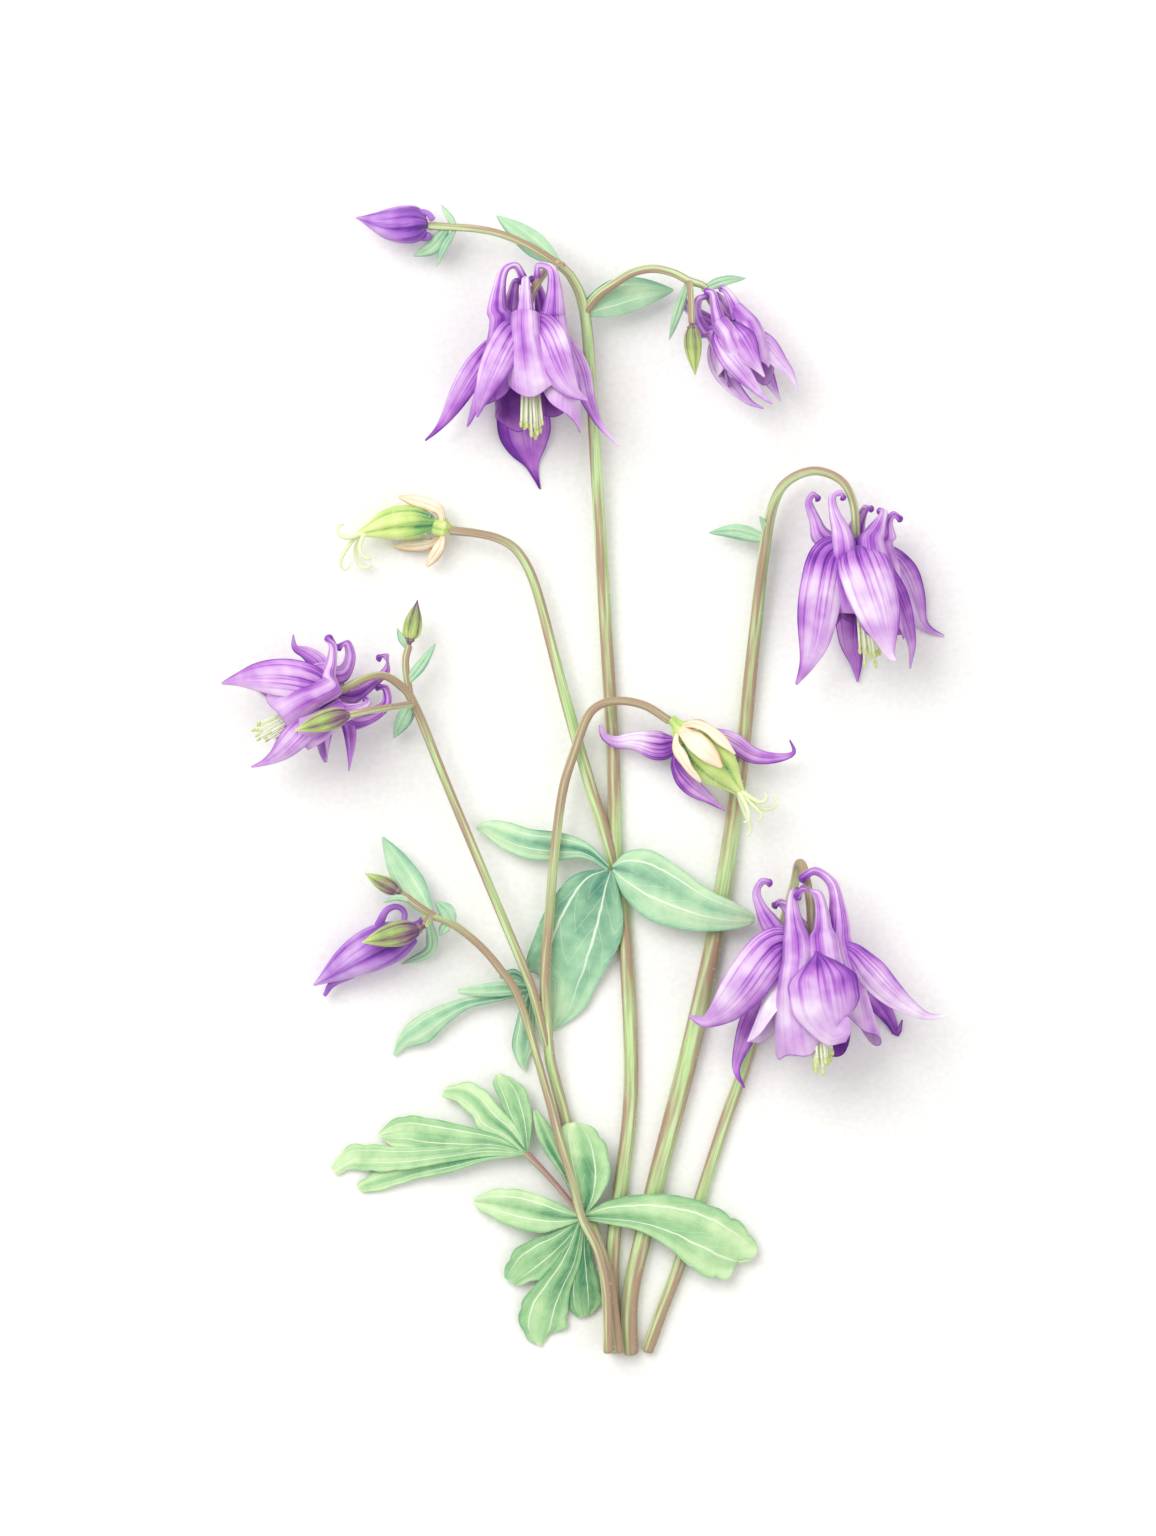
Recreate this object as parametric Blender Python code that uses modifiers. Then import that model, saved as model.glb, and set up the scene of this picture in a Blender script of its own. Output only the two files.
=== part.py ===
"""A common columbine plant, cut off at its crown and laid on a table.

Flowering stems, blooms, buds, seed pods and leaves lie on the plane z = 0. The stems' cut ends
are at -Y, the top bloom is at +Y, and +Z points up from the table. Every length and place in
the lists below is in millimetres: x across the spray, y along it, z above the table.
"""

import math

import bmesh
import bpy
from mathutils import Vector

MM = 0.001

# Driving dimensions, in millimetres
BLADE = 0.7  # thickness of leaves, sepals and petals
GAP = 0.35  # clearance between two nodes that touch on the real plant
HUB = 3.0  # radius of a bloom's receptacle, at size 1
HUB_HEIGHT = 1.8  # from its middle to its top, at size 1
MOUTH_RADIUS = 5.2  # from a bloom's axis to the middle of a petal's mouth, at size 1
STEM_STEP = 6.0  # distance between two cross-sections of a stem

UP = Vector((0, 0, 1))

PURPLE = ("petal_purple", (0.36, 0.13, 0.60), 0.55)
BUD_PURPLE = ("bud_purple", (0.33, 0.14, 0.55), 0.55)
BUD_GREEN = ("bud_green", (0.42, 0.42, 0.16), 0.6)
STEM_GREEN = ("stem_green", (0.42, 0.48, 0.20), 0.6)
LEAF_GREEN = ("leaf_green", (0.28, 0.50, 0.26), 0.6)
POD_GREEN = ("pod_green", (0.40, 0.62, 0.18), 0.5)
STAMEN_YELLOW = ("stamen_yellow", (0.66, 0.72, 0.36), 0.6)
PAPER_CREAM = ("papery_cream", (0.78, 0.66, 0.46), 0.7)


def clear_scene():
    for old in list(bpy.data.objects):
        bpy.data.objects.remove(old)


def material(look):
    name, colour, roughness = look
    made = bpy.data.materials.get(name)
    if made is None:
        made = bpy.data.materials.new(name)
        made.use_nodes = True
        shader = made.node_tree.nodes["Principled BSDF"]
        shader.inputs["Base Color"].default_value = (*colour, 1)
        shader.inputs["Roughness"].default_value = roughness
        shader.inputs["Metallic"].default_value = 0.0
    return made


def smooth_path(points, step):
    """A Catmull-Rom line through points of any number of coordinates, about step apart."""
    ends = [[2 * a - b for a, b in zip(points[0], points[1])]]
    ends.append([2 * a - b for a, b in zip(points[-1], points[-2])])
    knots = [ends[0], *points, ends[1]]
    line = []
    for before, start, end, after in zip(knots, knots[1:], knots[2:], knots[3:]):
        pieces = max(1, round((Vector(end[:3]) - Vector(start[:3])).length / step))
        for piece in range(pieces):
            t = piece / pieces
            line.append([
                0.5 * (2 * b + (c - a) * t + (2 * a - 5 * b + 4 * c - d) * t * t
                       + (3 * b - a - 3 * c + d) * t ** 3)
                for a, b, c, d in zip(before, start, end, after)
            ])
    line.append(list(points[-1]))
    return line


def between(table, t):
    """The value at t of a smooth line through (t, value) pairs."""
    for (t0, v0), (t1, v1) in zip(table, table[1:]):
        if t <= t1:
            share = (t - t0) / (t1 - t0)
            share = share * share * (3 - 2 * share) * 0.5 + share * 0.5
            return v0 + (v1 - v0) * share
    return table[-1][1]


class Spine:
    """A smooth line in space, read by the share of its length."""

    def __init__(self, points):
        self.line = [Vector(p[:3]) for p in smooth_path(points, 1.0)]
        self.run = [0.0]
        for start, end in zip(self.line, self.line[1:]):
            self.run.append(self.run[-1] + (end - start).length)
        self.length = self.run[-1]

    def point(self, share):
        way = min(max(share, 0.0), 1.0) * self.length
        for k in range(1, len(self.run)):
            if way <= self.run[k] or k == len(self.run) - 1:
                part = (way - self.run[k - 1]) / max(self.run[k] - self.run[k - 1], 1e-9)
                return self.line[k - 1].lerp(self.line[k], part)

    def tangent(self, share):
        near = 0.03
        ahead = self.point(min(share + near, 1.0))
        behind = self.point(max(share - near, 0.0))
        return (ahead - behind).normalized()


def mesh_object(name, points, faces):
    mesh = bpy.data.meshes.new(name)
    mesh.from_pydata([Vector(p) * MM for p in points], [], faces)
    made = bpy.data.objects.new(name, mesh)
    bpy.context.scene.collection.objects.link(made)
    return made


def as_mesh(source):
    """A plain closed mesh object from one with modifiers or from a curve, which is removed."""
    bpy.context.view_layer.update()
    graph = bpy.context.evaluated_depsgraph_get()
    mesh = bpy.data.meshes.new_from_object(source.evaluated_get(graph))
    shape = bmesh.new()
    shape.from_mesh(mesh)
    bmesh.ops.remove_doubles(shape, verts=shape.verts, dist=0.000002)
    bmesh.ops.recalc_face_normals(shape, faces=shape.faces)
    shape.to_mesh(mesh)
    shape.free()
    made = bpy.data.objects.new(source.name + "_mesh", mesh)
    made.matrix_world = source.matrix_world
    bpy.context.scene.collection.objects.link(made)
    bpy.data.objects.remove(source)
    return made


def tube(points, sides=8, step=STEM_STEP):
    """A round tapered rod through (x, y, z, radius) points, with closed ends."""
    line = smooth_path(points, step)
    curve = bpy.data.curves.new("rod", "CURVE")
    curve.dimensions = "3D"
    curve.bevel_depth = MM
    curve.bevel_resolution = (sides - 4) // 2
    curve.use_fill_caps = True
    spline = curve.splines.new("POLY")
    spline.points.add(len(line) - 1)
    for point, (x, y, z, radius) in zip(spline.points, line):
        point.co = (x * MM, y * MM, z * MM, 1)
        point.radius = radius
    made = bpy.data.objects.new("rod", curve)
    bpy.context.scene.collection.objects.link(made)
    return as_mesh(made)


def sheet(rows, thickness=BLADE):
    """A thin curved blade from rows of points, split into like triangles on both faces."""
    width = len(rows[0])
    points = [p for row in rows for p in row]
    faces = []
    for r in range(len(rows) - 1):
        for c in range(width - 1):
            a, b = r * width + c, r * width + c + 1
            d, e = a + width, b + width
            if (c < (width - 1) / 2) == (r % 2 == 0):
                faces += [(a, b, e), (a, e, d)]
            else:
                faces += [(a, b, d), (b, e, d)]
    made = mesh_object("blade", points, faces)
    solid = made.modifiers.new("thickness", "SOLIDIFY")
    solid.thickness = thickness * MM
    solid.offset = 0
    solid.use_even_offset = False
    return as_mesh(made)


def loft(rings):
    """A closed solid through rings of as many points, with its ends closed by their centres."""
    sides = len(rings[0])
    points = [Vector(p) for ring in rings for p in ring]
    faces = []
    for r in range(len(rings) - 1):
        for s in range(sides):
            a, b = r * sides + s, r * sides + (s + 1) % sides
            faces += [(a, b, b + sides), (a, b + sides, a + sides)]
    for ring in (0, len(rings) - 1):
        start = ring * sides
        points.append(sum((points[start + s] for s in range(sides)), Vector()) / sides)
        centre = len(points) - 1
        for s in range(sides):
            faces.append((start + s, start + (s + 1) % sides, centre))
    return as_mesh(mesh_object("loft", points, faces))


def ball(centre, radius, stretch=1.0, axis=UP, detail=1):
    """A small faceted ellipsoid, stretched along its axis."""
    bpy.ops.mesh.primitive_ico_sphere_add(subdivisions=detail, radius=radius * MM)
    made = bpy.context.object
    turn = UP.rotation_difference(Vector(axis)).to_matrix()
    for vertex in made.data.vertices:
        vertex.co.z *= stretch
        vertex.co = turn @ vertex.co + Vector(centre) * MM
    return made


def drop_pockets(mesh):
    """Keep only the largest connected surface, so that no sealed pocket is left inside."""
    shape = bmesh.new()
    shape.from_mesh(mesh)
    left = set(shape.verts)
    bodies = []
    while left:
        body = {left.pop()}
        edge = list(body)
        while edge:
            for link in edge.pop().link_edges:
                for vertex in link.verts:
                    if vertex in left:
                        left.discard(vertex)
                        body.add(vertex)
                        edge.append(vertex)
        bodies.append(body)
    bodies.sort(key=len)
    for body in bodies[:-1]:
        bmesh.ops.delete(shape, geom=list(body), context="VERTS")
    shape.to_mesh(mesh)
    shape.free()


def fuse(name, parts, look):
    """One solid named name from overlapping closed parts, which are used up."""
    base, others = parts[0], parts[1:]
    if others:
        group = bpy.data.collections.new(name + "_repeats")
        for other in others:
            group.objects.link(other)
        join = base.modifiers.new("join", "BOOLEAN")
        join.operation = "UNION"
        join.operand_type = "COLLECTION"
        join.collection = group
        join.solver = "MANIFOLD"
        base = as_mesh(base)
        for other in others:
            bpy.data.objects.remove(other)
        bpy.data.collections.remove(group)
    drop_pockets(base.data)
    base.name = name
    base.data.name = name
    base.data.materials.clear()
    base.data.materials.append(material(look))
    base.data.shade_smooth()
    base.data.set_sharp_from_angle(angle=math.radians(50))
    for owner in list(base.users_collection):
        owner.objects.unlink(base)
    PLANT.objects.link(base)
    return base


# A blade's half width along its length, as shares of the widest
SEPAL = [(0, 0.16), (0.14, 0.24), (0.30, 0.68), (0.46, 1.0), (0.62, 0.84), (0.78, 0.48),
         (0.90, 0.22), (1, 0.10)]
FADED = [(0, 0.2), (0.1, 0.8), (0.25, 1.0), (0.45, 0.7), (0.7, 0.4), (1, 0.2)]
PAPER = [(0, 0.3), (0.2, 0.6), (0.5, 1.0), (0.8, 0.8), (1, 0.3)]
BRACT = [(0, 0.35), (0.18, 0.75), (0.40, 1.0), (0.65, 0.82), (0.85, 0.45), (1, 0.14)]


def strip(points, face, half_width, outline, bend=40.0, twist=0.0, rows=6, columns=2):
    """A blade along points, whose face looks along face. Bend curls its edges back, in degrees."""
    spine = Spine(points)
    face = Vector(face).normalized()
    grid = []
    for r in range(rows + 1):
        share = r / rows
        tangent = spine.tangent(share)
        side = tangent.cross(face).normalized()
        normal = side.cross(tangent)
        turn = math.radians(twist * share)
        side, normal = (
            side * math.cos(turn) + normal * math.sin(turn),
            normal * math.cos(turn) - side * math.sin(turn),
        )
        half = half_width * between(outline, share)
        curl = math.radians(bend) if abs(bend) > 1 else 0.02
        row = []
        for c in range(columns + 1):
            across = 2 * c / columns - 1
            row.append(
                spine.point(share)
                + side * half * math.sin(curl * across) / curl
                - normal * half * (1 - math.cos(curl * across)) / curl
            )
        grid.append(row)
    return sheet(grid)


class Bloom:
    """A nodding flower: its receptacle, the way its mouth looks, and its size."""

    def __init__(self, centre, mouth, size=1.0):
        self.centre = Vector(centre)
        self.axis = Vector(mouth).normalized()
        self.front = (UP - self.axis * UP.dot(self.axis)).normalized()
        self.right = self.front.cross(self.axis)
        self.size = size

    def outward(self, azimuth):
        angle = math.radians(azimuth)
        return self.front * math.cos(angle) + self.right * math.sin(angle)

    def place(self, azimuth, radial, along):
        return self.centre + self.axis * along + self.outward(azimuth) * radial

    def stalk_end(self):
        """Where a stalk ends, short of the receptacle."""
        return self.centre - self.axis * (HUB_HEIGHT * self.size + GAP)


def sepal(bloom, half_width, points, bend=34.0, face=UP, twist=0.0, rows=5):
    return strip([bloom.centre, *points], face, half_width, SEPAL, bend, twist, rows)


def petal(bloom, azimuth, lip, spur, sides=6):
    """A petal: a cup open towards its lip, drawn out behind through (x, y, z, radius) points into
    a spur with a hooked tip. Azimuth is the mouth's place round the bloom, from its front."""
    size = bloom.size
    out = bloom.outward(azimuth)
    mouth = bloom.place(azimuth, MOUTH_RADIUS * size, 3.0 * size)
    wide, deep = 2.9 * size, 2.7 * size
    aside = bloom.axis.cross(out).normalized()
    throat = bloom.place(azimuth, (MOUTH_RADIUS - 0.4) * size, -0.8 * size)
    line = [mouth, throat] + [Vector(p[:3]) for p in spur]
    radii = [None, 2.5 * size] + [p[3] for p in spur]

    turns = [2 * math.pi * s / sides for s in range(sides)]

    def rim(share, inset=0.0):
        """The cup's wall beyond the mouth: share 0 is the mouth and 1 its rounded edge."""
        reach_out = Vector(lip) - (mouth + out * deep)
        points = []
        for phi in turns:
            reach = share * min(1.0, 0.72 * (1 + math.cos(phi)))
            outward = out * reach_out.dot(out)
            points.append(
                mouth + out * (deep - inset) * math.cos(phi)
                + aside * (wide + 0.7 * size * share - inset) * math.sin(phi)
                + (reach_out - outward) * reach + outward * reach ** 1.6
            )
        return points

    funnel = [rim(0.0)]
    up = out
    for index in range(1, len(line)):
        ahead = line[min(index + 1, len(line) - 1)]
        tangent = (line[index - 1] - ahead).normalized()
        across = (aside - tangent * aside.dot(tangent)).normalized()
        turned = across.cross(tangent)
        up = turned if turned.dot(up) > 0 else -turned
        funnel.append([line[index] + (up * math.cos(phi) + across * math.sin(phi)) * radii[index]
                       for phi in turns])
    return loft(funnel[::-1] + [rim(1.0), rim(1.0, BLADE), rim(0.0, BLADE)])


def bloom_parts(bloom, sepals, petals):
    parts = [ball(bloom.centre, HUB * bloom.size, HUB_HEIGHT / HUB, bloom.axis)]
    parts += [sepal(bloom, *spec) for spec in sepals]
    parts += [petal(bloom, *spec) for spec in petals]
    return parts


def stamen_parts(bloom, reach, filaments=5):
    """The column of stamens and styles that hangs out of a bloom's mouth."""
    start = HUB_HEIGHT * bloom.size + GAP
    core = [(*bloom.place(0, 0, start), 0.8), (*bloom.place(0, 0, reach * 0.45), 1.0),
            (*bloom.place(0, 0, reach * 0.8), 0.45)]
    parts = [tube(core, 6, 20)]
    for k in range(filaments):
        azimuth = 360 * k / filaments
        end = reach * (0.92 + 0.08 * math.cos(2.4 * k))
        lean = 1.3 + 0.6 * math.sin(1.7 * k)
        line = [(*bloom.place(azimuth, 0.35, reach * 0.45), 0.36),
                (*bloom.place(azimuth, lean, end - 1.6), 0.36),
                (*bloom.place(azimuth, lean + 0.2, end - 1.1), 0.6),
                (*bloom.place(azimuth, lean + 0.3, end), 0.45)]
        parts.append(tube(line, 4, 20))
    return parts


def spindle(base, tip, radius, profile, lobes=5, depth=0.08, sides=10, rings=8, bow=(0, 0, 0)):
    """A closed bud or pod: a turned form with lobes sunk lines, from base to tip."""
    base, tip = Vector(base), Vector(tip)
    spine = Spine([base, (base + tip) / 2 + Vector(bow), tip])
    rows = []
    for r in range(rings + 1):
        share = r / rings
        tangent = spine.tangent(share)
        across = tangent.cross(UP).normalized()
        up = across.cross(tangent)
        size = radius * between(profile, share)
        row = []
        for s in range(sides):
            angle = 2 * math.pi * s / sides
            reach = size * (1 + depth * math.cos(lobes * angle))
            row.append(spine.point(share) + (across * math.cos(angle) + up * math.sin(angle)) * reach)
        rows.append(row)
    return loft(rows)


BUD_FAT = [(0, 0.55), (0.1, 0.9), (0.3, 1.0), (0.55, 0.82), (0.8, 0.38), (0.93, 0.14), (1, 0.07)]
BUD_SHAPE = [(0, 0.45), (0.15, 0.86), (0.35, 1.0), (0.6, 0.8), (0.8, 0.45), (0.93, 0.18), (1, 0.07)]
POD_SHAPE = [(0, 0.45), (0.2, 0.92), (0.42, 1.0), (0.65, 0.82), (0.85, 0.42), (1, 0.16)]

def blade(rows, heights, lift=0.0):
    """A leaflet or lobe from rows of (x, y) points: left edge, midrib, right edge. Heights are
    the midrib's, and the edges lie lift millimetres above or below it."""
    last = len(rows) - 1
    grid = []
    for k, (row, height) in enumerate(zip(rows, heights)):
        rise = lift * min(1.0, 2.5 * k / last, 2.5 * (last - k) / last + 0.2)
        grid.append([Vector((x, y, height + rise * (abs(c - 1)))) for c, (x, y) in enumerate(row)])
    return sheet(grid)


PLANT = bpy.data.collections.new("columbine_plant")


# Blooms: receptacle, way of the mouth, size
BLOOM_TOP = Bloom((-11.5, 91.0, 12.0), (0.03, -0.97, 0.20), 1.08)
BLOOM_RIGHT = Bloom((54.0, 46.6, 12.0), (0.12, -0.99, 0.05), 1.0)
BLOOM_LOW = Bloom((45.0, -33.0, 12.5), (0.08, -0.97, 0.20), 1.1)
BLOOM_LEFT = Bloom((-51.0, 17.0, 12.0), (-0.87, -0.47, 0.10), 0.95)
BLOOM_SMALL = Bloom((28.0, 91.4, 11.0), (0.62, -0.77, 0.12), 0.7)

# Each sepal: half width, points of its midline, bend, face. Each petal: azimuth of its mouth,
# middle of its lip, and its spur's points with their radii.


def add_bloom_top():
    sepals = [
        (3.5, [(-13.4, 90.2, 17.0), (-15.2, 88.0, 20.4), (-18.2, 82.0, 22.0), (-20.6, 76.0, 21.4),
               (-21.6, 72.4, 20.2)]),
        (4.2, [(-9.8, 91.0, 17.0), (-8.0, 88.0, 20.4), (-5.6, 82.0, 21.6), (-2.8, 77.6, 20.4),
               (0.2, 75.8, 19.0)]),
        (2.9, [(-15.5, 89.5, 11.5), (-19.4, 86.5, 10.5), (-23.5, 80.5, 9.5), (-27.0, 74.4, 9.0),
               (-29.6, 70.4, 9.4), (-32.0, 68.0, 10.5)], 34, (-0.3, 0.2, 1)),
        (2.2, [(-7.5, 89.8, 11.5), (-3.4, 87.5, 11.0), (-1.0, 82.5, 11.5), (0.4, 76.5, 12.0),
               (2.6, 71.5, 12.5), (6.6, 66.8, 13.0)], 20, (0.5, 0, 0.85)),
        (5.4, [(-11.6, 89.5, 7.5), (-12.0, 84.0, 4.2), (-12.6, 76.0, 2.4), (-12.2, 69.5, 1.2),
               (-10.8, 63.5, 0.6), (-9.2, 58.6, 0.35)], -14),
    ]
    petals = [
        (-72, (-20.4, 70.6, 16.0), [(-17.6, 94.0, 13.4, 1.8), (-17.2, 98.6, 12.8, 1.15),
                                    (-16.2, 102.0, 12.4, 0.9), (-14.0, 102.8, 12.0, 0.75),
                                    (-12.6, 100.6, 11.6, 0.85)]),
        (-6, (-10.6, 77.2, 21.0), [(-12.0, 93.0, 17.0, 1.6), (-12.0, 97.4, 15.6, 1.0),
                                   (-12.0, 99.8, 14.2, 0.8), (-12.0, 99.2, 13.0, 0.7)]),
        (68, (-3.6, 70.6, 16.0), [(-6.4, 94.0, 15.0, 1.9), (-6.3, 98.4, 15.4, 1.3),
                                  (-7.0, 102.0, 15.4, 0.95), (-9.4, 102.6, 15.2, 0.8),
                                  (-9.6, 100.8, 14.8, 0.85)]),
        (140, (-5.0, 73.5, 9.0), [(-8.4, 93.0, 8.8, 1.6), (-9.2, 97.0, 8.6, 1.1),
                                  (-10.2, 99.8, 8.8, 0.8), (-10.9, 100.2, 9.4, 0.8)]),
        (-142, (-15.5, 70.5, 7.0), [(-15.0, 93.0, 8.8, 1.6), (-14.6, 97.0, 8.6, 1.1),
                                    (-14.0, 99.6, 8.8, 0.8), (-13.2, 99.8, 9.4, 0.8)]),
    ]
    fuse("bloom_top", bloom_parts(BLOOM_TOP, sepals, petals), PURPLE)
    fuse("stamens_top", stamen_parts(BLOOM_TOP, 22.6), STAMEN_YELLOW)


def add_bloom_right():
    sepals = [
        (4.5, [(51.4, 46.6, 15.6), (48.4, 45.0, 18.4), (47.0, 40.0, 19.0), (46.0, 33.4, 18.0),
               (45.2, 27.6, 16.6), (43.8, 23.2, 15.0), (41.8, 19.4, 13.6)]),
        (5.4, [(54.0, 47.0, 17.0), (54.4, 44.6, 20.4), (56.0, 40.0, 21.4), (57.8, 34.6, 21.0),
               (59.2, 29.6, 20.0), (60.4, 25.2, 19.0), (61.6, 24.2, 19.6)]),
        (2.4, [(56.6, 46.2, 13.0), (59.0, 43.4, 14.6), (61.4, 38.0, 14.8), (63.4, 32.6, 14.0),
               (64.8, 27.4, 13.0), (64.5, 22.6, 12.0)]),
        (3.2, [(57.6, 46.0, 9.0), (60.8, 45.0, 6.4), (63.6, 40.8, 4.0), (65.6, 36.0, 2.4),
               (67.0, 32.0, 1.2), (69.0, 30.2, 0.7), (71.6, 29.2, 0.4)], -14),
        (3.6, [(53.0, 45.0, 7.0), (52.6, 40.0, 4.6), (53.0, 34.0, 3.0), (53.2, 28.0, 2.0),
               (54.0, 24.0, 1.2), (54.3, 20.0, 0.7)], -14),
    ]
    petals = [
        (-100, (47.0, 30.0, 11.0), [(46.4, 49.4, 12.0, 1.6), (45.6, 52.0, 12.0, 1.1),
                                    (44.3, 55.6, 12.0, 0.75), (45.2, 57.2, 12.0, 0.65),
                                    (46.1, 56.4, 12.0, 0.75)]),
        (-36, (52.0, 29.4, 16.0), [(50.6, 50.0, 15.6, 1.6), (49.4, 53.4, 15.0, 1.0),
                                   (49.0, 56.6, 14.2, 0.7), (50.6, 57.5, 14.0, 0.65),
                                   (51.1, 56.5, 14.0, 0.75)]),
        (180, (56.0, 31.0, 6.0), [(53.8, 50.4, 7.8, 1.6), (54.8, 52.8, 8.2, 1.0),
                                  (55.8, 54.6, 8.8, 0.75), (56.8, 54.4, 9.4, 0.75)]),
        (36, (59.6, 29.4, 14.6), [(57.6, 49.8, 15.2, 1.6), (58.6, 52.0, 14.6, 1.0),
                                  (59.2, 53.6, 13.8, 0.75), (58.4, 53.9, 13.0, 0.75)]),
        (104, (63.4, 28.6, 10.0), [(60.0, 49.4, 12.0, 1.6), (60.0, 51.6, 12.0, 1.0),
                                   (61.2, 53.2, 12.0, 0.7), (62.5, 52.3, 12.0, 0.75)]),
    ]
    fuse("bloom_right", bloom_parts(BLOOM_RIGHT, sepals, petals), PURPLE)
    fuse("stamens_right", stamen_parts(BLOOM_RIGHT, 23.4), STAMEN_YELLOW)


def add_bloom_low():
    sepals = [
        (4.8, [(41.5, -32.4, 14.5), (38.0, -32.6, 17.2), (34.6, -36.0, 18.4), (31.2, -40.8, 17.4),
               (27.4, -45.2, 14.6), (23.6, -47.6, 11.6), (20.6, -46.6, 10.6)]),
        (7.4, [(45.2, -33.0, 17.4), (46.0, -35.4, 21.4), (47.0, -40.0, 22.6), (48.2, -45.0, 22.0),
               (50.0, -47.6, 21.4), (51.8, -46.0, 21.8)]),
        (3.2, [(48.8, -32.6, 14.0), (52.6, -33.4, 16.0), (56.0, -37.0, 16.4), (60.0, -41.4, 15.6),
               (64.0, -44.6, 14.4), (68.0, -46.6, 13.2), (71.8, -46.4, 12.6)]),
        (3.0, [(42.5, -35.0, 8.6), (38.0, -40.4, 5.4), (33.4, -47.4, 4.6), (30.8, -53.6, 4.6),
               (30.0, -57.6, 5.2), (31.6, -61.0, 5.8)], -14),
        (2.8, [(48.0, -35.0, 8.4), (52.6, -38.6, 5.0), (57.6, -43.0, 2.4), (60.8, -47.6, 0.8),
               (62.2, -50.4, 0.6), (63.2, -47.6, 2.0)], -14),
    ]
    petals = [
        (-98, (33.4, -52.6, 12.0), [(36.4, -28.0, 13.0, 1.7), (34.8, -25.0, 12.6, 1.1),
                                    (33.9, -22.0, 12.4, 0.8), (35.0, -19.8, 12.4, 0.7),
                                    (36.5, -20.1, 12.4, 0.85)]),
        (-34, (40.8, -55.2, 18.0), [(41.4, -28.6, 16.6, 1.7), (41.0, -25.2, 15.8, 1.2),
                                    (41.2, -22.2, 14.6, 0.85), (42.0, -21.6, 13.6, 0.8)]),
        (24, (47.6, -47.4, 21.0), [(47.0, -29.0, 16.6, 1.6), (46.8, -25.4, 16.6, 1.2),
                                   (45.8, -22.2, 16.6, 0.95), (43.2, -21.2, 16.6, 0.8),
                                   (42.0, -22.8, 16.4, 0.9)]),
        (84, (56.4, -52.6, 11.0), [(50.2, -28.0, 13.4, 2.0), (49.9, -24.0, 13.2, 1.4),
                                   (48.8, -20.0, 13.0, 1.05), (45.6, -17.7, 13.0, 0.85),
                                   (43.0, -19.2, 13.0, 1.0)]),
        (172, (48.4, -54.4, 7.6), [(42.0, -28.4, 8.2, 1.5), (40.2, -25.4, 8.0, 1.0),
                                   (38.6, -24.0, 8.4, 0.8), (37.6, -24.6, 8.8, 0.8)]),
    ]
    fuse("bloom_low", bloom_parts(BLOOM_LOW, sepals, petals), PURPLE)
    fuse("stamens_low", stamen_parts(BLOOM_LOW, 26.0), STAMEN_YELLOW)


def add_bloom_left():
    sepals = [
        (4.0, [(-52.6, 18.6, 16.0), (-54.6, 19.6, 18.4), (-58.6, 20.6, 19.0), (-64.0, 20.9, 17.6),
               (-69.0, 20.4, 15.6), (-72.4, 19.6, 14.4)]),
        (3.0, [(-52.0, 15.0, 15.6), (-54.0, 12.8, 17.4), (-57.4, 9.4, 17.2), (-60.8, 6.0, 15.4),
               (-63.8, 4.0, 12.0), (-66.6, 3.0, 11.0)]),
        (1.9, [(-51.4, 19.4, 9.6), (-53.0, 23.4, 8.6), (-55.6, 25.6, 8.2), (-58.0, 26.8, 8.4),
               (-58.3, 29.4, 9.6)]),
        (1.4, [(-49.4, 14.0, 11.0), (-47.4, 11.4, 10.6), (-46.9, 7.4, 10.0), (-47.2, 2.2, 9.4)]),
        (3.6, [(-53.0, 17.0, 7.0), (-57.0, 17.4, 4.0), (-62.0, 18.4, 1.6), (-67.0, 19.4, 0.4)], -14),
    ]
    petals = [
        (-20, (-62.2, 14.6, 16.6), [(-51.4, 21.0, 15.6, 1.4), (-50.6, 24.0, 15.0, 1.0),
                                    (-50.3, 27.0, 15.0, 0.8), (-51.2, 28.6, 15.0, 0.95)]),
        (-92, (-60.0, 25.4, 9.0), [(-48.6, 21.6, 10.4, 1.5), (-47.0, 24.6, 10.0, 1.05),
                                   (-47.6, 27.6, 10.0, 0.8), (-49.2, 26.8, 10.0, 0.8)]),
        (-164, (-61.0, 15.0, 4.6), [(-46.6, 17.4, 6.6, 1.6), (-43.0, 19.4, 6.4, 1.0),
                                    (-39.8, 22.4, 6.4, 0.75), (-39.9, 25.2, 6.4, 0.7),
                                    (-41.3, 24.7, 6.4, 0.8)]),
        (124, (-52.4, 4.6, 8.0), [(-46.0, 12.6, 8.6, 1.9), (-42.6, 13.4, 8.4, 1.4),
                                  (-39.8, 15.6, 8.2, 1.0), (-39.9, 18.6, 8.2, 0.75),
                                  (-41.5, 18.9, 8.2, 0.8)]),
        (52, (-56.4, 7.6, 15.6), [(-48.0, 13.8, 14.8, 1.6), (-45.0, 14.6, 14.2, 1.0),
                                  (-43.4, 15.6, 13.6, 0.7), (-43.8, 16.4, 13.0, 0.7)]),
    ]
    fuse("bloom_left", bloom_parts(BLOOM_LEFT, sepals, petals), PURPLE)
    fuse("stamens_left", stamen_parts(BLOOM_LEFT, 16.6), STAMEN_YELLOW)


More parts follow.
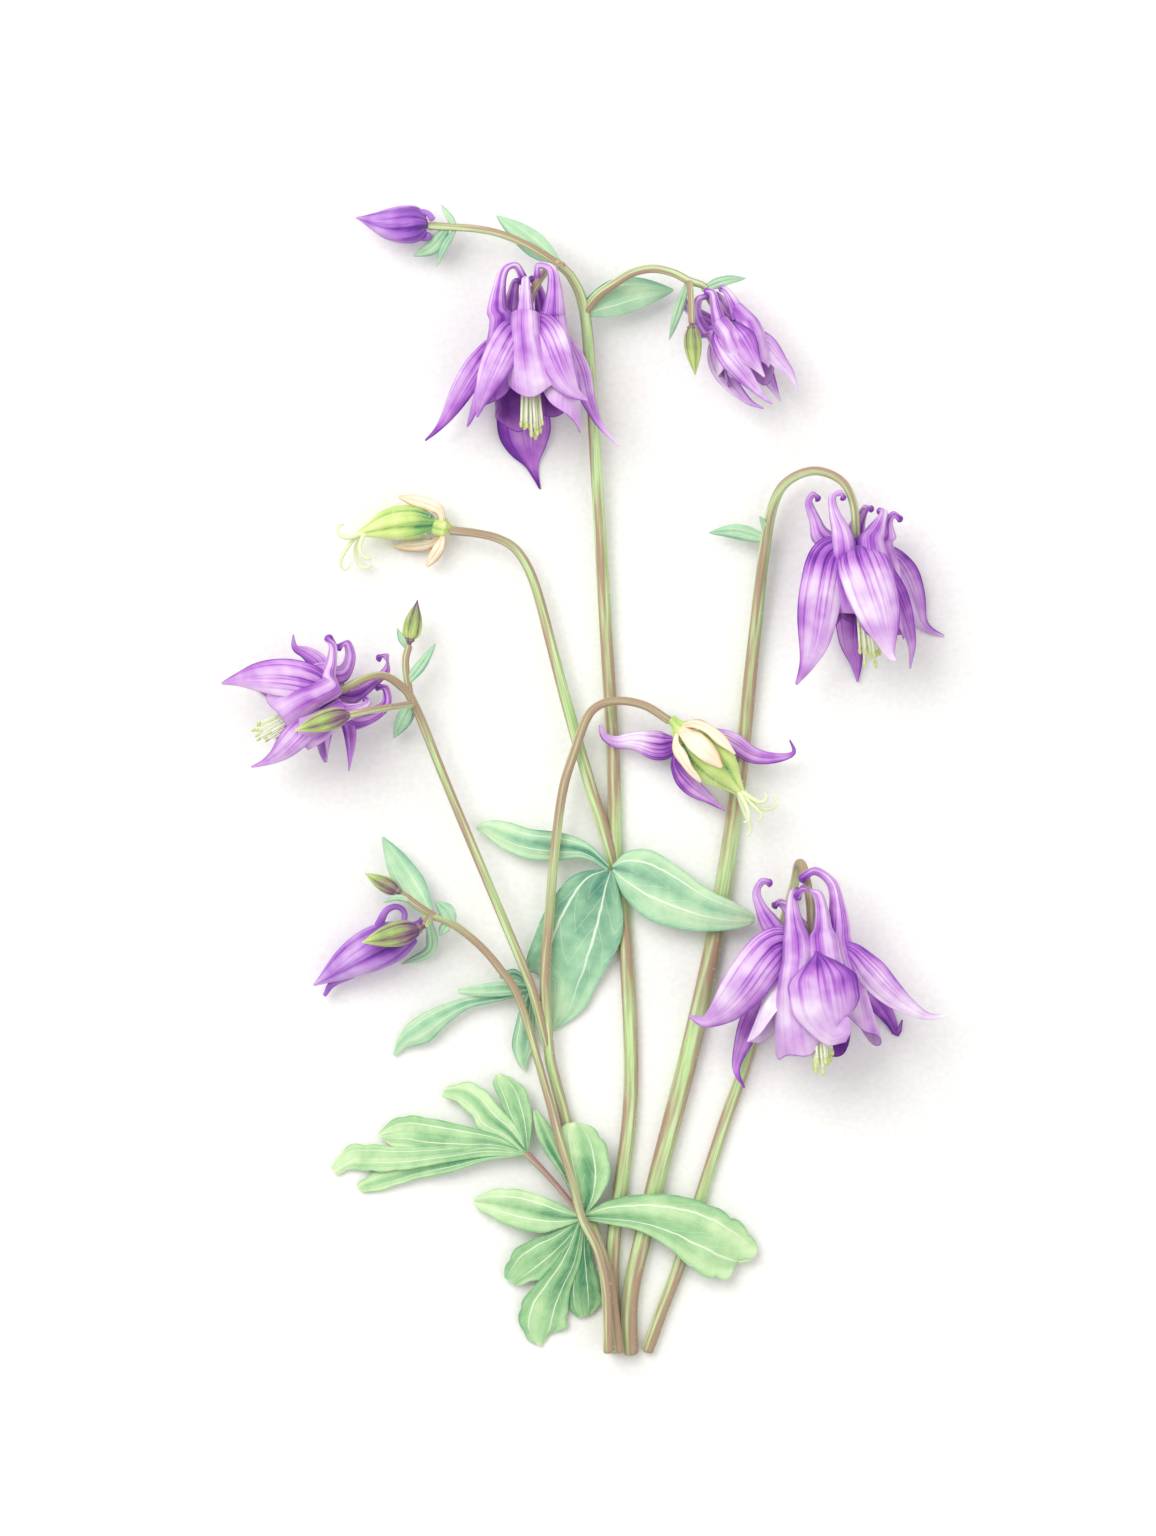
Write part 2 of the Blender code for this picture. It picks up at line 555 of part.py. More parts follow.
def add_bloom_small():
    sepals = [
        (2.4, [(26.4, 90.2, 13.6), (26.2, 88.0, 15.4), (28.6, 84.4, 16.0), (31.8, 80.4, 15.4),
               (35.0, 76.8, 14.4), (37.0, 75.2, 14.0)]),
        (3.2, [(29.0, 90.8, 14.4), (30.4, 88.4, 16.0), (32.4, 85.0, 16.4), (34.0, 82.6, 16.0),
               (35.4, 80.6, 15.2)]),
        (2.2, [(30.6, 90.8, 11.8), (33.0, 89.6, 12.4), (36.0, 86.8, 12.2), (38.4, 83.8, 11.6),
               (40.6, 81.4, 11.0), (42.2, 78.0, 10.6)]),
        (2.6, [(29.6, 89.0, 7.6), (32.6, 85.4, 6.0), (36.4, 80.6, 5.0), (38.8, 76.0, 4.6)], -14),
        (2.0, [(26.4, 89.4, 8.8), (25.6, 85.6, 8.0), (28.0, 80.6, 8.0), (32.0, 76.2, 8.2),
               (35.4, 74.4, 8.6)], -14),
    ]
    petals = [
        (-90, (26.4, 80.4, 10.4), [(23.4, 89.8, 11.2, 1.4), (22.0, 93.0, 11.8, 1.0),
                                   (22.4, 96.0, 12.6, 0.75), (24.0, 96.6, 13.2, 0.7)]),
        (-20, (30.6, 81.6, 14.6), [(26.6, 91.2, 14.0, 1.3), (25.8, 94.2, 14.0, 1.0),
                                   (25.2, 97.2, 14.0, 0.7), (23.9, 97.7, 13.8, 0.7)]),
        (64, (36.4, 83.4, 12.6), [(30.6, 92.4, 12.4, 1.5), (29.4, 95.2, 12.4, 1.1),
                                  (28.0, 97.6, 12.0, 0.75), (26.9, 98.2, 11.8, 0.7)]),
        (140, (37.0, 80.6, 7.4), [(28.6, 93.6, 8.0, 1.3), (27.0, 96.0, 7.4, 0.95),
                                  (25.8, 97.2, 7.4, 0.7)]),
        (-150, (30.0, 79.0, 7.4), [(24.0, 92.0, 7.8, 1.3), (20.6, 94.4, 7.4, 1.0),
                                   (19.2, 96.4, 7.6, 0.8), (19.8, 97.8, 8.0, 0.7)]),
    ]
    fuse("bloom_small", bloom_parts(BLOOM_SMALL, sepals, petals), PURPLE)


def leaf_strip(base, middle, tip, half_width, face=UP, bend=25.0, rows=3):
    return strip([base, middle, tip], face, half_width, BRACT, bend, 0.0, rows)


def add_stem_main():
    top = BLOOM_TOP.stalk_end()
    small = BLOOM_SMALL.stalk_end()
    stem = [(5.4, -113.6, 1.22, 1.4), (5.2, -103.6, 1.22, 1.4), (5.4, -92.6, 1.22, 1.4),
            (6.6, -83.6, 1.26, 1.45), (8.6, -67.6, 1.26, 1.45), (9.0, -55.6, 1.26, 1.45),
            (8.4, -39.6, 1.26, 1.45), (7.2, -24.6, 1.26, 1.45), (5.8, -15.6, 1.35, 1.5),
            (5.6, 0.4, 1.4, 1.35), (4.8, 16.4, 1.7, 1.3), (3.6, 36.4, 2.4, 1.25),
            (2.2, 60.4, 3.4, 1.2), (0.8, 82.4, 5.5, 1.15), (-0.4, 94.4, 7.5, 1.1),
            (-2.8, 100.4, 9.0, 0.95), (-6.0, 103.6, 10.5, 0.85)]
    parts = [tube(stem, 6, 10)]
    parts.append(tube([(-5.2, 103.2, 10.2, 0.85), (-8.0, 101.6, 11.6, 0.8),
                       (-10.6, 97.6, 12.0, 0.8), (*top, 0.8)], 6))
    parts.append(tube([(-4.6, 102.6, 10.0, 0.85), (-11.2, 106.6, 11.0, 0.75),
                       (-17.2, 109.2, 10.0, 0.75), (-21.8, 110.2, 9.0, 0.75),
                       (-26.2, 110.6, 8.0, 0.75), (-29.0, 110.8, 7.2, 0.8),
                       (-31.3, 110.9, 6.9, 0.8)], 6, 8))
    parts.append(tube([(-0.4, 93.6, 7.4, 1.0), (2.4, 97.0, 8.4, 0.95), (5.8, 99.4, 9.4, 0.9),
                       (9.2, 101.4, 10.2, 0.85), (13.2, 102.2, 11.0, 0.85),
                       (17.2, 101.4, 11.4, 0.8), (20.4, 99.8, 11.6, 0.8),
                       (23.6, 98.6, 11.2, 0.7), (24.6, 96.0, 10.6, 0.65), (*small, 0.65)], 6, 8))
    parts.append(tube([(5.9, -17.6, 1.8, 1.1), (3.6, -9.6, 2.6, 1.25), (0.8, -0.6, 3.2, 1.2),
                       (-1.8, 8.4, 3.6, 1.15), (-4.6, 18.4, 3.8, 1.1), (-7.2, 28.4, 4.0, 1.05),
                       (-9.6, 37.4, 4.4, 1.0), (-11.6, 42.8, 4.8, 0.95), (-14.2, 46.6, 5.2, 0.9),
                       (-17.6, 48.6, 5.4, 0.85), (-21.6, 49.6, 5.4, 0.85),
                       (-26.9, 50.2, 5.2, 0.9)], 6, 8))
    parts.append(tube([(20.6, 99.6, 11.6, 0.7), (20.8, 97.0, 14.6, 0.65), (21.0, 91.3, 15.5, 0.65)], 6))
    parts.append(leaf_strip((-5.6, 103.2, 10.2), (-12.0, 108.4, 10.6), (-17.8, 112.8, 9.0), 2.5))
    parts.append(leaf_strip((-0.6, 94.0, 7.4), (8.0, 97.2, 6.6), (17.4, 98.2, 5.0), 3.8))
    parts.append(leaf_strip((-25.8, 110.4, 8.0), (-27.4, 112.8, 8.4), (-28.8, 115.0, 8.2), 0.7))
    parts.append(leaf_strip((-27.8, 110.4, 7.4), (-30.4, 107.0, 5.8), (-34.4, 105.0, 4.4), 1.7))
    parts.append(leaf_strip((-26.0, 110.2, 7.8), (-28.4, 106.6, 7.4), (-29.8, 102.8, 6.4), 0.8))
    parts.append(leaf_strip((23.0, 98.0, 11.4), (27.6, 99.8, 10.6), (31.8, 100.4, 9.2), 1.1))
    parts.append(leaf_strip((20.2, 99.6, 11.2), (18.4, 94.0, 9.4), (16.6, 88.2, 7.6), 1.0))
    fuse("stem_main", parts, STEM_GREEN)


def add_stem_tall_right():
    end = BLOOM_RIGHT.stalk_end()
    stem = [(8.8, -114.0, 1.48, 1.7), (8.6, -106.6, 1.48, 1.7), (9.2, -100.6, 1.48, 1.7),
            (11.2, -91.6, 1.52, 1.75), (14.6, -77.6, 1.61, 1.85), (20.8, -53.6, 1.7, 1.95),
            (26.0, -29.6, 1.65, 1.8), (30.8, 2.4, 1.7, 1.5), (33.4, 26.4, 2.4, 1.3),
            (35.8, 47.4, 4.0, 1.15), (37.8, 56.4, 6.0, 1.0), (40.8, 60.4, 7.4, 0.95),
            (45.8, 62.0, 9.4, 0.9), (50.8, 60.0, 11.2, 0.85), (53.2, 55.4, 12.2, 0.85),
            (*end, 0.85)]
    parts = [tube(stem, 6, 10)]
    parts.append(leaf_strip((36.2, 48.4, 4.2), (30.0, 50.0, 4.6), (24.6, 49.8, 3.6), 1.6))
    parts.append(leaf_strip((36.2, 49.4, 4.6), (35.6, 51.4, 5.6), (34.6, 53.0, 6.0), 0.8))
    fuse("stem_tall_right", parts, STEM_GREEN)


def add_stem_low_right():
    end = BLOOM_LOW.stalk_end()
    stem = [(12.3, -113.6, 1.12, 1.25), (15.4, -105.0, 1.12, 1.25), (18.6, -96.6, 1.12, 1.25),
            (24.6, -77.6, 1.1, 1.2), (28.2, -66.6, 1.1, 1.2), (31.8, -56.6, 1.1, 1.15),
            (35.8, -44.0, 1.1, 1.1), (39.0, -30.0, 1.6, 1.0), (41.6, -20.5, 3.0, 0.95),
            (42.4, -16.4, 6.0, 0.9), (43.4, -17.4, 9.4, 0.9), (44.6, -24.0, 11.6, 0.9), (*end, 0.9)]
    fuse("stem_low_right", [tube(stem, 6, 10)], STEM_GREEN)


def add_stem_left():
    end = BLOOM_LEFT.stalk_end()
    stem = [(6.2, -113.6, 4.6, 1.3), (5.2, -105.0, 4.6, 1.3), (4.0, -97.6, 4.5, 1.3),
            (2.6, -93.0, 3.4, 1.25), (1.2, -88.6, 2.2, 1.25), (-1.6, -79.6, 1.7, 1.2),
            (-4.0, -68.0, 1.8, 1.2), (-6.2, -59.6, 2.4, 1.15), (-7.4, -53.6, 3.2, 1.1),
            (-8.2, -39.6, 4.8, 1.05), (-7.4, -27.6, 5.2, 1.0), (-6.2, -13.6, 5.8, 0.95),
            (-4.6, -1.6, 6.0, 0.95), (-2.2, 6.4, 6.6, 0.95), (0.2, 12.8, 7.0, 0.9),
            (2.8, 15.4, 7.2, 0.85), (6.8, 16.2, 7.6, 0.85), (11.8, 15.2, 8.4, 0.85),
            (16.5, 12.3, 9.0, 0.85)]
    parts = [tube(stem, 6, 10)]
    branch = [(-7.2, -54.6, 3.0, 0.95), (-9.0, -47.6, 4.6, 0.95), (-10.4, -42.6, 5.6, 0.95),
              (-11.8, -38.6, 6.0, 0.9), (-19.6, -20.0, 6.0, 0.9), (-27.4, -1.4, 6.0, 0.9),
              (-34.2, 15.4, 7.4, 0.9), (-37.2, 19.4, 9.0, 0.85), (-40.4, 21.2, 10.8, 0.8),
              (-44.0, 20.6, 12.0, 0.8), (*end, 0.8)]
    parts.append(tube(branch, 6, 9))
    parts.append(tube([(-35.0, 16.4, 7.6, 0.8), (-36.0, 23.4, 8.0, 0.75),
                       (-35.4, 27.1, 7.6, 0.8)], 6, 9))
    parts.append(tube([(-34.6, 15.6, 7.6, 0.8), (-36.6, 15.2, 13.0, 0.7), (-39.2, 14.8, 18.0, 0.7),
                       (-43.0, 14.2, 20.6, 0.7), (-46.6, 13.4, 21.4, 0.8)], 6, 6))
    parts.append(leaf_strip((-35.6, 26.6, 7.8), (-36.8, 28.6, 8.6), (-37.6, 30.6, 8.8), 0.7))
    parts.append(leaf_strip((-36.0, 19.4, 8.2), (-32.8, 23.4, 8.6), (-30.0, 27.6, 7.6), 1.1))
    parts.append(leaf_strip((-34.6, 15.8, 7.4), (-36.4, 12.4, 6.0), (-38.4, 8.8, 3.6), 1.7))
    fuse("stem_left", parts, STEM_GREEN)


def add_stem_bud():
    stem = [(4.4, -113.6, 7.2, 1.0), (4.0, -101.6, 7.2, 0.95), (2.4, -93.6, 7.0, 0.9),
            (-0.8, -87.0, 6.7, 0.9), (-2.8, -79.6, 6.2, 0.85), (-5.2, -71.6, 5.9, 0.85),
            (-8.2, -60.6, 5.8, 0.8), (-13.2, -43.6, 6.4, 0.8), (-17.2, -37.2, 6.8, 0.8),
            (-21.2, -32.6, 7.2, 0.8), (-26.2, -28.6, 7.6, 0.8), (-30.4, -26.8, 7.6, 0.8),
            (-32.4, -27.2, 7.2, 0.8)]
    parts = [tube(stem, 6, 9)]
    parts.append(tube([(-29.8, -27.0, 7.6, 0.75), (-33.0, -25.0, 7.8, 0.7),
                       (-36.6, -22.4, 7.2, 0.7)], 6, 8))
    parts.append(tube([(-31.2, -26.8, 7.4, 0.75), (-31.4, -27.4, 9.6, 0.7),
                       (-32.1, -28.6, 11.4, 0.75)], 6, 8))
    parts.append(leaf_strip((-31.4, -26.0, 7.8), (-36.2, -18.6, 5.4), (-40.6, -11.0, 4.4), 3.0))
    parts.append(leaf_strip((-26.4, -28.2, 7.8), (-28.0, -25.6, 8.6), (-30.0, -23.8, 8.6), 1.7))
    parts.append(leaf_strip((-27.4, -28.0, 7.4), (-28.4, -29.4, 7.2), (-29.2, -30.6, 6.6), 1.1))
    parts.append(leaf_strip((-31.4, -27.0, 6.8), (-31.0, -33.4, 3.6), (-36.8, -36.4, 1.2), 1.2))
    parts.append(leaf_strip((-34.6, -23.8, 7.6), (-37.6, -23.0, 8.4), (-40.4, -24.0, 8.0), 0.6))
    fuse("stem_bud", parts, STEM_GREEN)


def add_leaf_upper():
    left = blade([
        ((4.6, -16.4), (4.4, -17.0), (4.0, -17.6)),
        ((0.4, -12.2), (0.0, -13.8), (-0.6, -15.2)),
        ((-5.0, -10.1), (-5.6, -12.8), (-6.0, -15.7)),
        ((-11.0, -9.4), (-11.4, -12.0), (-12.0, -15.3)),
        ((-16.0, -7.9), (-16.4, -10.4), (-17.0, -13.2)),
        ((-19.8, -7.8), (-19.6, -9.0), (-19.8, -10.8)),
        ((-22.0, -8.9), (-21.9, -9.3), (-21.6, -9.7)),
    ], (4.8, 4.6, 4.0, 3.8, 3.4, 3.0, 2.6), -0.5)
    middle = blade([
        ((3.8, -17.2), (4.6, -17.8), (5.4, -17.6)),
        ((-2.6, -18.6), (2.2, -21.0), (6.6, -22.0)),
        ((-7.4, -24.4), (0.0, -26.0), (7.4, -27.0)),
        ((-10.4, -31.0), (-2.0, -31.6), (6.8, -32.0)),
        ((-12.0, -37.2), (-3.0, -37.0), (3.9, -37.4)),
        ((-8.0, -39.0), (-4.0, -41.0), (1.6, -41.6)),
        ((-7.6, -44.4), (-5.0, -45.0), (-0.8, -45.8)),
        ((-7.2, -49.3), (-6.8, -49.9), (-6.0, -49.7)),
    ], (4.8, 4.4, 3.6, 3.0, 2.4, 1.8, 1.2, 0.7))
    right = blade([
        ((5.2, -16.6), (5.4, -17.2), (5.4, -18.0)),
        ((8.4, -13.8), (8.2, -18.0), (7.4, -22.6)),
        ((13.0, -13.6), (13.0, -20.0), (11.6, -27.0)),
        ((18.6, -17.0), (18.4, -22.6), (17.0, -29.0)),
        ((24.0, -21.1), (23.6, -25.0), (23.0, -29.8)),
        ((29.0, -23.7), (29.0, -26.6), (28.8, -29.5)),
        ((32.8, -25.8), (32.8, -27.2), (32.4, -28.7)),
        ((33.8, -26.9), (33.6, -27.5), (33.4, -28.1)),
    ], (4.8, 5.2, 5.4, 5.4, 5.4, 5.2, 4.6, 4.2), -0.3)
    fuse("leaf_upper", [ball((4.9, -17.4, 4.8), 0.8), left, middle, right], LEAF_GREEN)


def add_leaf_mid():
    left = blade([
        ((-11.2, -40.6), (-11.2, -41.2), (-11.2, -41.8)),
        ((-14.4, -39.8), (-14.4, -41.2), (-14.4, -42.6)),
        ((-20.0, -40.2), (-20.0, -41.5), (-20.0, -42.9)),
        ((-25.6, -41.3), (-25.6, -41.8), (-25.4, -42.3)),
    ], (3.6, 4.0, 4.0, 3.2), -0.3)
    long = blade([
        ((-11.2, -41.2), (-11.2, -41.7), (-11.2, -42.2)),
        ((-17.0, -42.5), (-17.0, -43.1), (-17.0, -43.7)),
        ((-24.0, -43.1), (-23.6, -44.2), (-23.4, -45.3)),
        ((-30.0, -45.0), (-29.0, -46.8), (-28.0, -48.6)),
        ((-35.0, -47.8), (-33.4, -49.8), (-31.4, -51.9)),
        ((-37.4, -51.0), (-36.6, -52.0), (-35.4, -53.0)),
        ((-38.6, -54.4), (-38.2, -54.8), (-37.8, -54.5)),
    ], (3.4, 3.0, 3.0, 2.8, 2.4, 1.6, 0.8), -0.4)
    down = blade([
        ((-11.6, -41.4), (-11.0, -41.8), (-10.5, -41.4)),
        ((-13.0, -44.6), (-11.8, -45.0), (-10.2, -44.6)),
        ((-14.2, -49.0), (-12.2, -49.4), (-10.2, -49.0)),
        ((-14.8, -52.6), (-12.6, -53.0), (-10.2, -52.4)),
        ((-13.9, -55.6), (-12.7, -55.6), (-11.5, -55.0)),
        ((-12.8, -57.3), (-12.3, -57.5), (-11.9, -57.1)),
    ], (3.4, 3.2, 2.6, 2.0, 1.6, 1.2), -0.4)
    back = blade([
        ((-10.8, -40.6), (-10.8, -41.0), (-10.8, -41.5)),
        ((-14.0, -37.4), (-14.0, -38.4), (-14.0, -39.4)),
        ((-17.2, -38.2), (-17.3, -38.7), (-17.1, -39.3)),
    ], (3.6, 3.2, 2.4))
    fuse("leaf_mid", [ball((-11.2, -41.4, 3.5), 0.7), left, long, down, back], LEAF_GREEN)


def add_leaf_basal():
    parts = [ball((-0.7, -87.0, 4.5), 0.75)]
    parts.append(tube([(-0.6, -87.0, 4.5, 0.6), (-6.2, -80.2, 4.2, 0.6), (-11.8, -74.2, 3.6, 0.7)], 6, 9))
    parts.append(blade([
        ((0.0, -86.0), (0.0, -86.6), (0.0, -87.4)),
        ((4.4, -83.6), (5.0, -86.6), (5.0, -88.4)),
        ((10.0, -82.4), (11.0, -87.0), (10.6, -89.6)),
        ((17.0, -82.3), (17.6, -88.2), (16.0, -92.6)),
        ((23.6, -84.0), (23.6, -90.0), (21.4, -97.2)),
        ((29.0, -86.8), (28.0, -92.4), (25.8, -99.2)),
        ((31.8, -89.2), (30.4, -94.0), (29.0, -98.6)),
        ((33.2, -91.0), (31.6, -94.6), (28.8, -96.4)),
        ((34.4, -93.2), (33.8, -94.6), (32.6, -95.8)),
    ], (4.5, 4.6, 4.8, 4.7, 4.2, 3.4, 2.6, 2.4, 2.0)))
    parts.append(blade([
        ((-1.2, -86.5), (-1.2, -87.1), (-1.2, -87.7)),
        ((-4.6, -84.6), (-5.0, -87.0), (-5.0, -89.0)),
        ((-9.0, -82.6), (-9.4, -86.2), (-9.0, -90.0)),
        ((-14.0, -81.3), (-14.0, -85.2), (-14.4, -89.0)),
        ((-18.6, -81.5), (-18.4, -84.4), (-18.6, -87.0)),
        ((-21.6, -82.8), (-21.4, -84.0), (-21.4, -85.4)),
        ((-22.3, -83.5), (-22.4, -84.0), (-22.2, -84.4)),
    ], (4.5, 4.2, 3.6, 3.0, 2.2, 1.6, 1.4), 0.3))
    parts.append(blade([
        ((-1.6, -87.2), (-1.2, -87.8), (-0.8, -88.4)),
        ((-6.0, -89.7), (-5.0, -91.4), (-3.6, -93.0)),
        ((-10.4, -91.2), (-8.4, -94.0), (-6.6, -97.0)),
        ((-14.0, -93.4), (-11.6, -96.4), (-9.4, -99.6)),
        ((-15.9, -96.6), (-13.6, -98.4), (-11.2, -99.7)),
        ((-16.3, -99.0), (-15.0, -100.2), (-13.4, -100.7)),
    ], (4.4, 3.6, 2.6, 2.0, 1.6, 1.4)))
    parts.append(blade([
        ((-1.6, -87.6), (-1.0, -88.0), (-0.4, -87.8)),
        ((-5.6, -95.0), (-3.0, -95.6), (-1.0, -95.2)),
        ((-9.8, -100.0), (-6.0, -101.4), (-3.0, -101.2)),
        ((-12.8, -104.0), (-8.0, -105.6), (-3.7, -105.6)),
        ((-13.2, -108.0), (-9.0, -109.0), (-4.2, -109.0)),
        ((-11.6, -111.4), (-9.3, -111.6), (-7.0, -110.2)),
        ((-9.8, -112.5), (-9.2, -112.8), (-8.6, -112.3)),
    ], (4.4, 3.2, 2.2, 1.6, 1.0, 0.6, 0.45)))
    parts.append(blade([
        ((-1.2, -87.6), (-0.7, -87.8), (-0.2, -87.4)),
        ((-2.6, -95.0), (-1.0, -95.0), (1.0, -94.0)),
        ((-3.6, -100.6), (-1.0, -100.6), (2.4, -99.6)),
        ((-3.4, -104.6), (-0.8, -104.4), (3.1, -103.4)),
        ((-1.8, -107.0), (-0.4, -106.9), (1.4, -106.2)),
    ], (4.4, 2.9, 2.0, 1.4, 1.0)))
    parts.append(blade([
        ((-1.0, -86.4), (-0.5, -86.6), (0.0, -86.4)),
        ((-2.8, -81.6), (0.4, -82.6), (3.0, -82.6)),
        ((-4.6, -76.4), (0.2, -78.0), (4.8, -78.4)),
        ((-5.6, -72.0), (-0.4, -73.4), (3.9, -72.6)),
        ((-5.0, -68.8), (-1.4, -70.0), (1.6, -69.3)),
        ((-3.2, -68.0), (-2.0, -68.0), (-0.9, -68.0)),
    ], (4.5, 4.3, 4.2, 4.1, 4.0, 4.0)))
    parts.append(blade([
        ((-1.4, -86.4), (-1.0, -86.2), (-0.6, -86.0)),
        ((-4.4, -79.4), (-3.8, -79.0), (-3.0, -78.4)),
        ((-8.4, -73.6), (-7.0, -73.0), (-5.4, -72.4)),
        ((-10.2, -69.0), (-8.8, -68.8), (-7.2, -68.6)),
        ((-10.6, -65.8), (-10.1, -65.4), (-9.5, -65.8)),
    ], (4.5, 4.2, 3.9, 3.7, 3.6)))
    parts.append(blade([
        ((-11.4, -73.4), (-11.6, -74.0), (-11.8, -74.6)),
        ((-18.0, -70.4), (-18.0, -72.0), (-18.0, -73.4)),
        ((-24.0, -68.7), (-24.0, -71.4), (-24.4, -74.0)),
        ((-31.0, -67.2), (-31.0, -70.6), (-30.6, -74.4)),
        ((-36.6, -66.8), (-36.0, -70.0), (-36.0, -73.6)),
        ((-40.2, -68.8), (-39.6, -70.4), (-38.6, -72.8)),
        ((-41.4, -70.2), (-41.2, -70.8), (-40.7, -71.4)),
    ], (3.6, 3.6, 3.2, 2.6, 2.2, 1.8, 1.6)))
    parts.append(blade([
        ((-11.6, -73.4), (-11.8, -74.0), (-12.0, -74.6)),
        ((-20.0, -72.0), (-20.0, -73.2), (-20.0, -74.8)),
        ((-28.0, -72.6), (-28.0, -74.2), (-28.0, -76.0)),
        ((-36.0, -73.0), (-36.0, -75.0), (-36.0, -77.4)),
        ((-43.0, -72.5), (-43.0, -75.2), (-43.0, -77.8)),
        ((-47.6, -72.9), (-47.0, -75.6), (-46.6, -77.4)),
        ((-50.9, -77.0), (-50.5, -77.9), (-49.8, -78.7)),
    ], (3.6, 3.4, 3.0, 2.4, 1.6, 1.0, 0.6)))
    parts.append(blade([
        ((-11.8, -73.6), (-12.0, -74.1), (-12.2, -74.6)),
        ((-20.0, -73.8), (-20.0, -74.8), (-20.0, -75.7)),
        ((-27.0, -74.6), (-27.0, -76.2), (-27.0, -78.0)),
        ((-34.0, -76.0), (-34.0, -77.8), (-33.6, -79.3)),
        ((-40.0, -77.2), (-39.4, -79.4), (-39.0, -81.0)),
        ((-44.6, -79.4), (-43.8, -80.6), (-43.0, -82.0)),
        ((-45.8, -80.6), (-45.5, -81.2), (-45.0, -81.9)),
    ], (3.6, 3.2, 2.6, 1.8, 1.2, 0.8, 0.6)))
    parts.append(blade([
        ((-12.4, -73.6), (-11.9, -74.0), (-11.4, -73.6)),
        ((-14.0, -69.8), (-12.6, -70.0), (-10.9, -69.8)),
        ((-16.2, -66.0), (-13.8, -66.0), (-10.9, -66.0)),
        ((-17.6, -62.6), (-15.0, -62.4), (-12.0, -61.8)),
        ((-18.5, -59.8), (-16.4, -59.6), (-14.4, -59.3)),
        ((-18.0, -58.5), (-17.4, -58.2), (-16.8, -58.4)),
    ], (3.6, 3.8, 3.6, 3.4, 3.0, 2.8)))
    parts.append(blade([
        ((-12.4, -74.2), (-12.0, -73.8), (-11.6, -73.2)),
        ((-17.0, -70.9), (-15.6, -69.8), (-14.0, -68.6)),
        ((-21.4, -69.4), (-19.2, -67.0), (-17.2, -65.0)),
        ((-23.0, -66.4), (-21.8, -63.8), (-20.4, -61.4)),
        ((-26.0, -64.0), (-24.8, -62.0), (-23.6, -60.0)),
        ((-28.8, -62.8), (-28.4, -61.8), (-27.6, -60.8)),
    ], (3.6, 3.8, 3.4, 3.0, 2.4, 2.0)))
    fuse("leaf_basal", parts, LEAF_GREEN)


def style(points, thick=0.42):
    """A curled style at a pod's tip, through (x, y, z) points."""
    last = len(points) - 1
    return tube([(*p, thick + 0.24 * (1 - 2 * k / last) if 2 * k < last else thick)
                 for k, p in enumerate(points)], 4, 5)


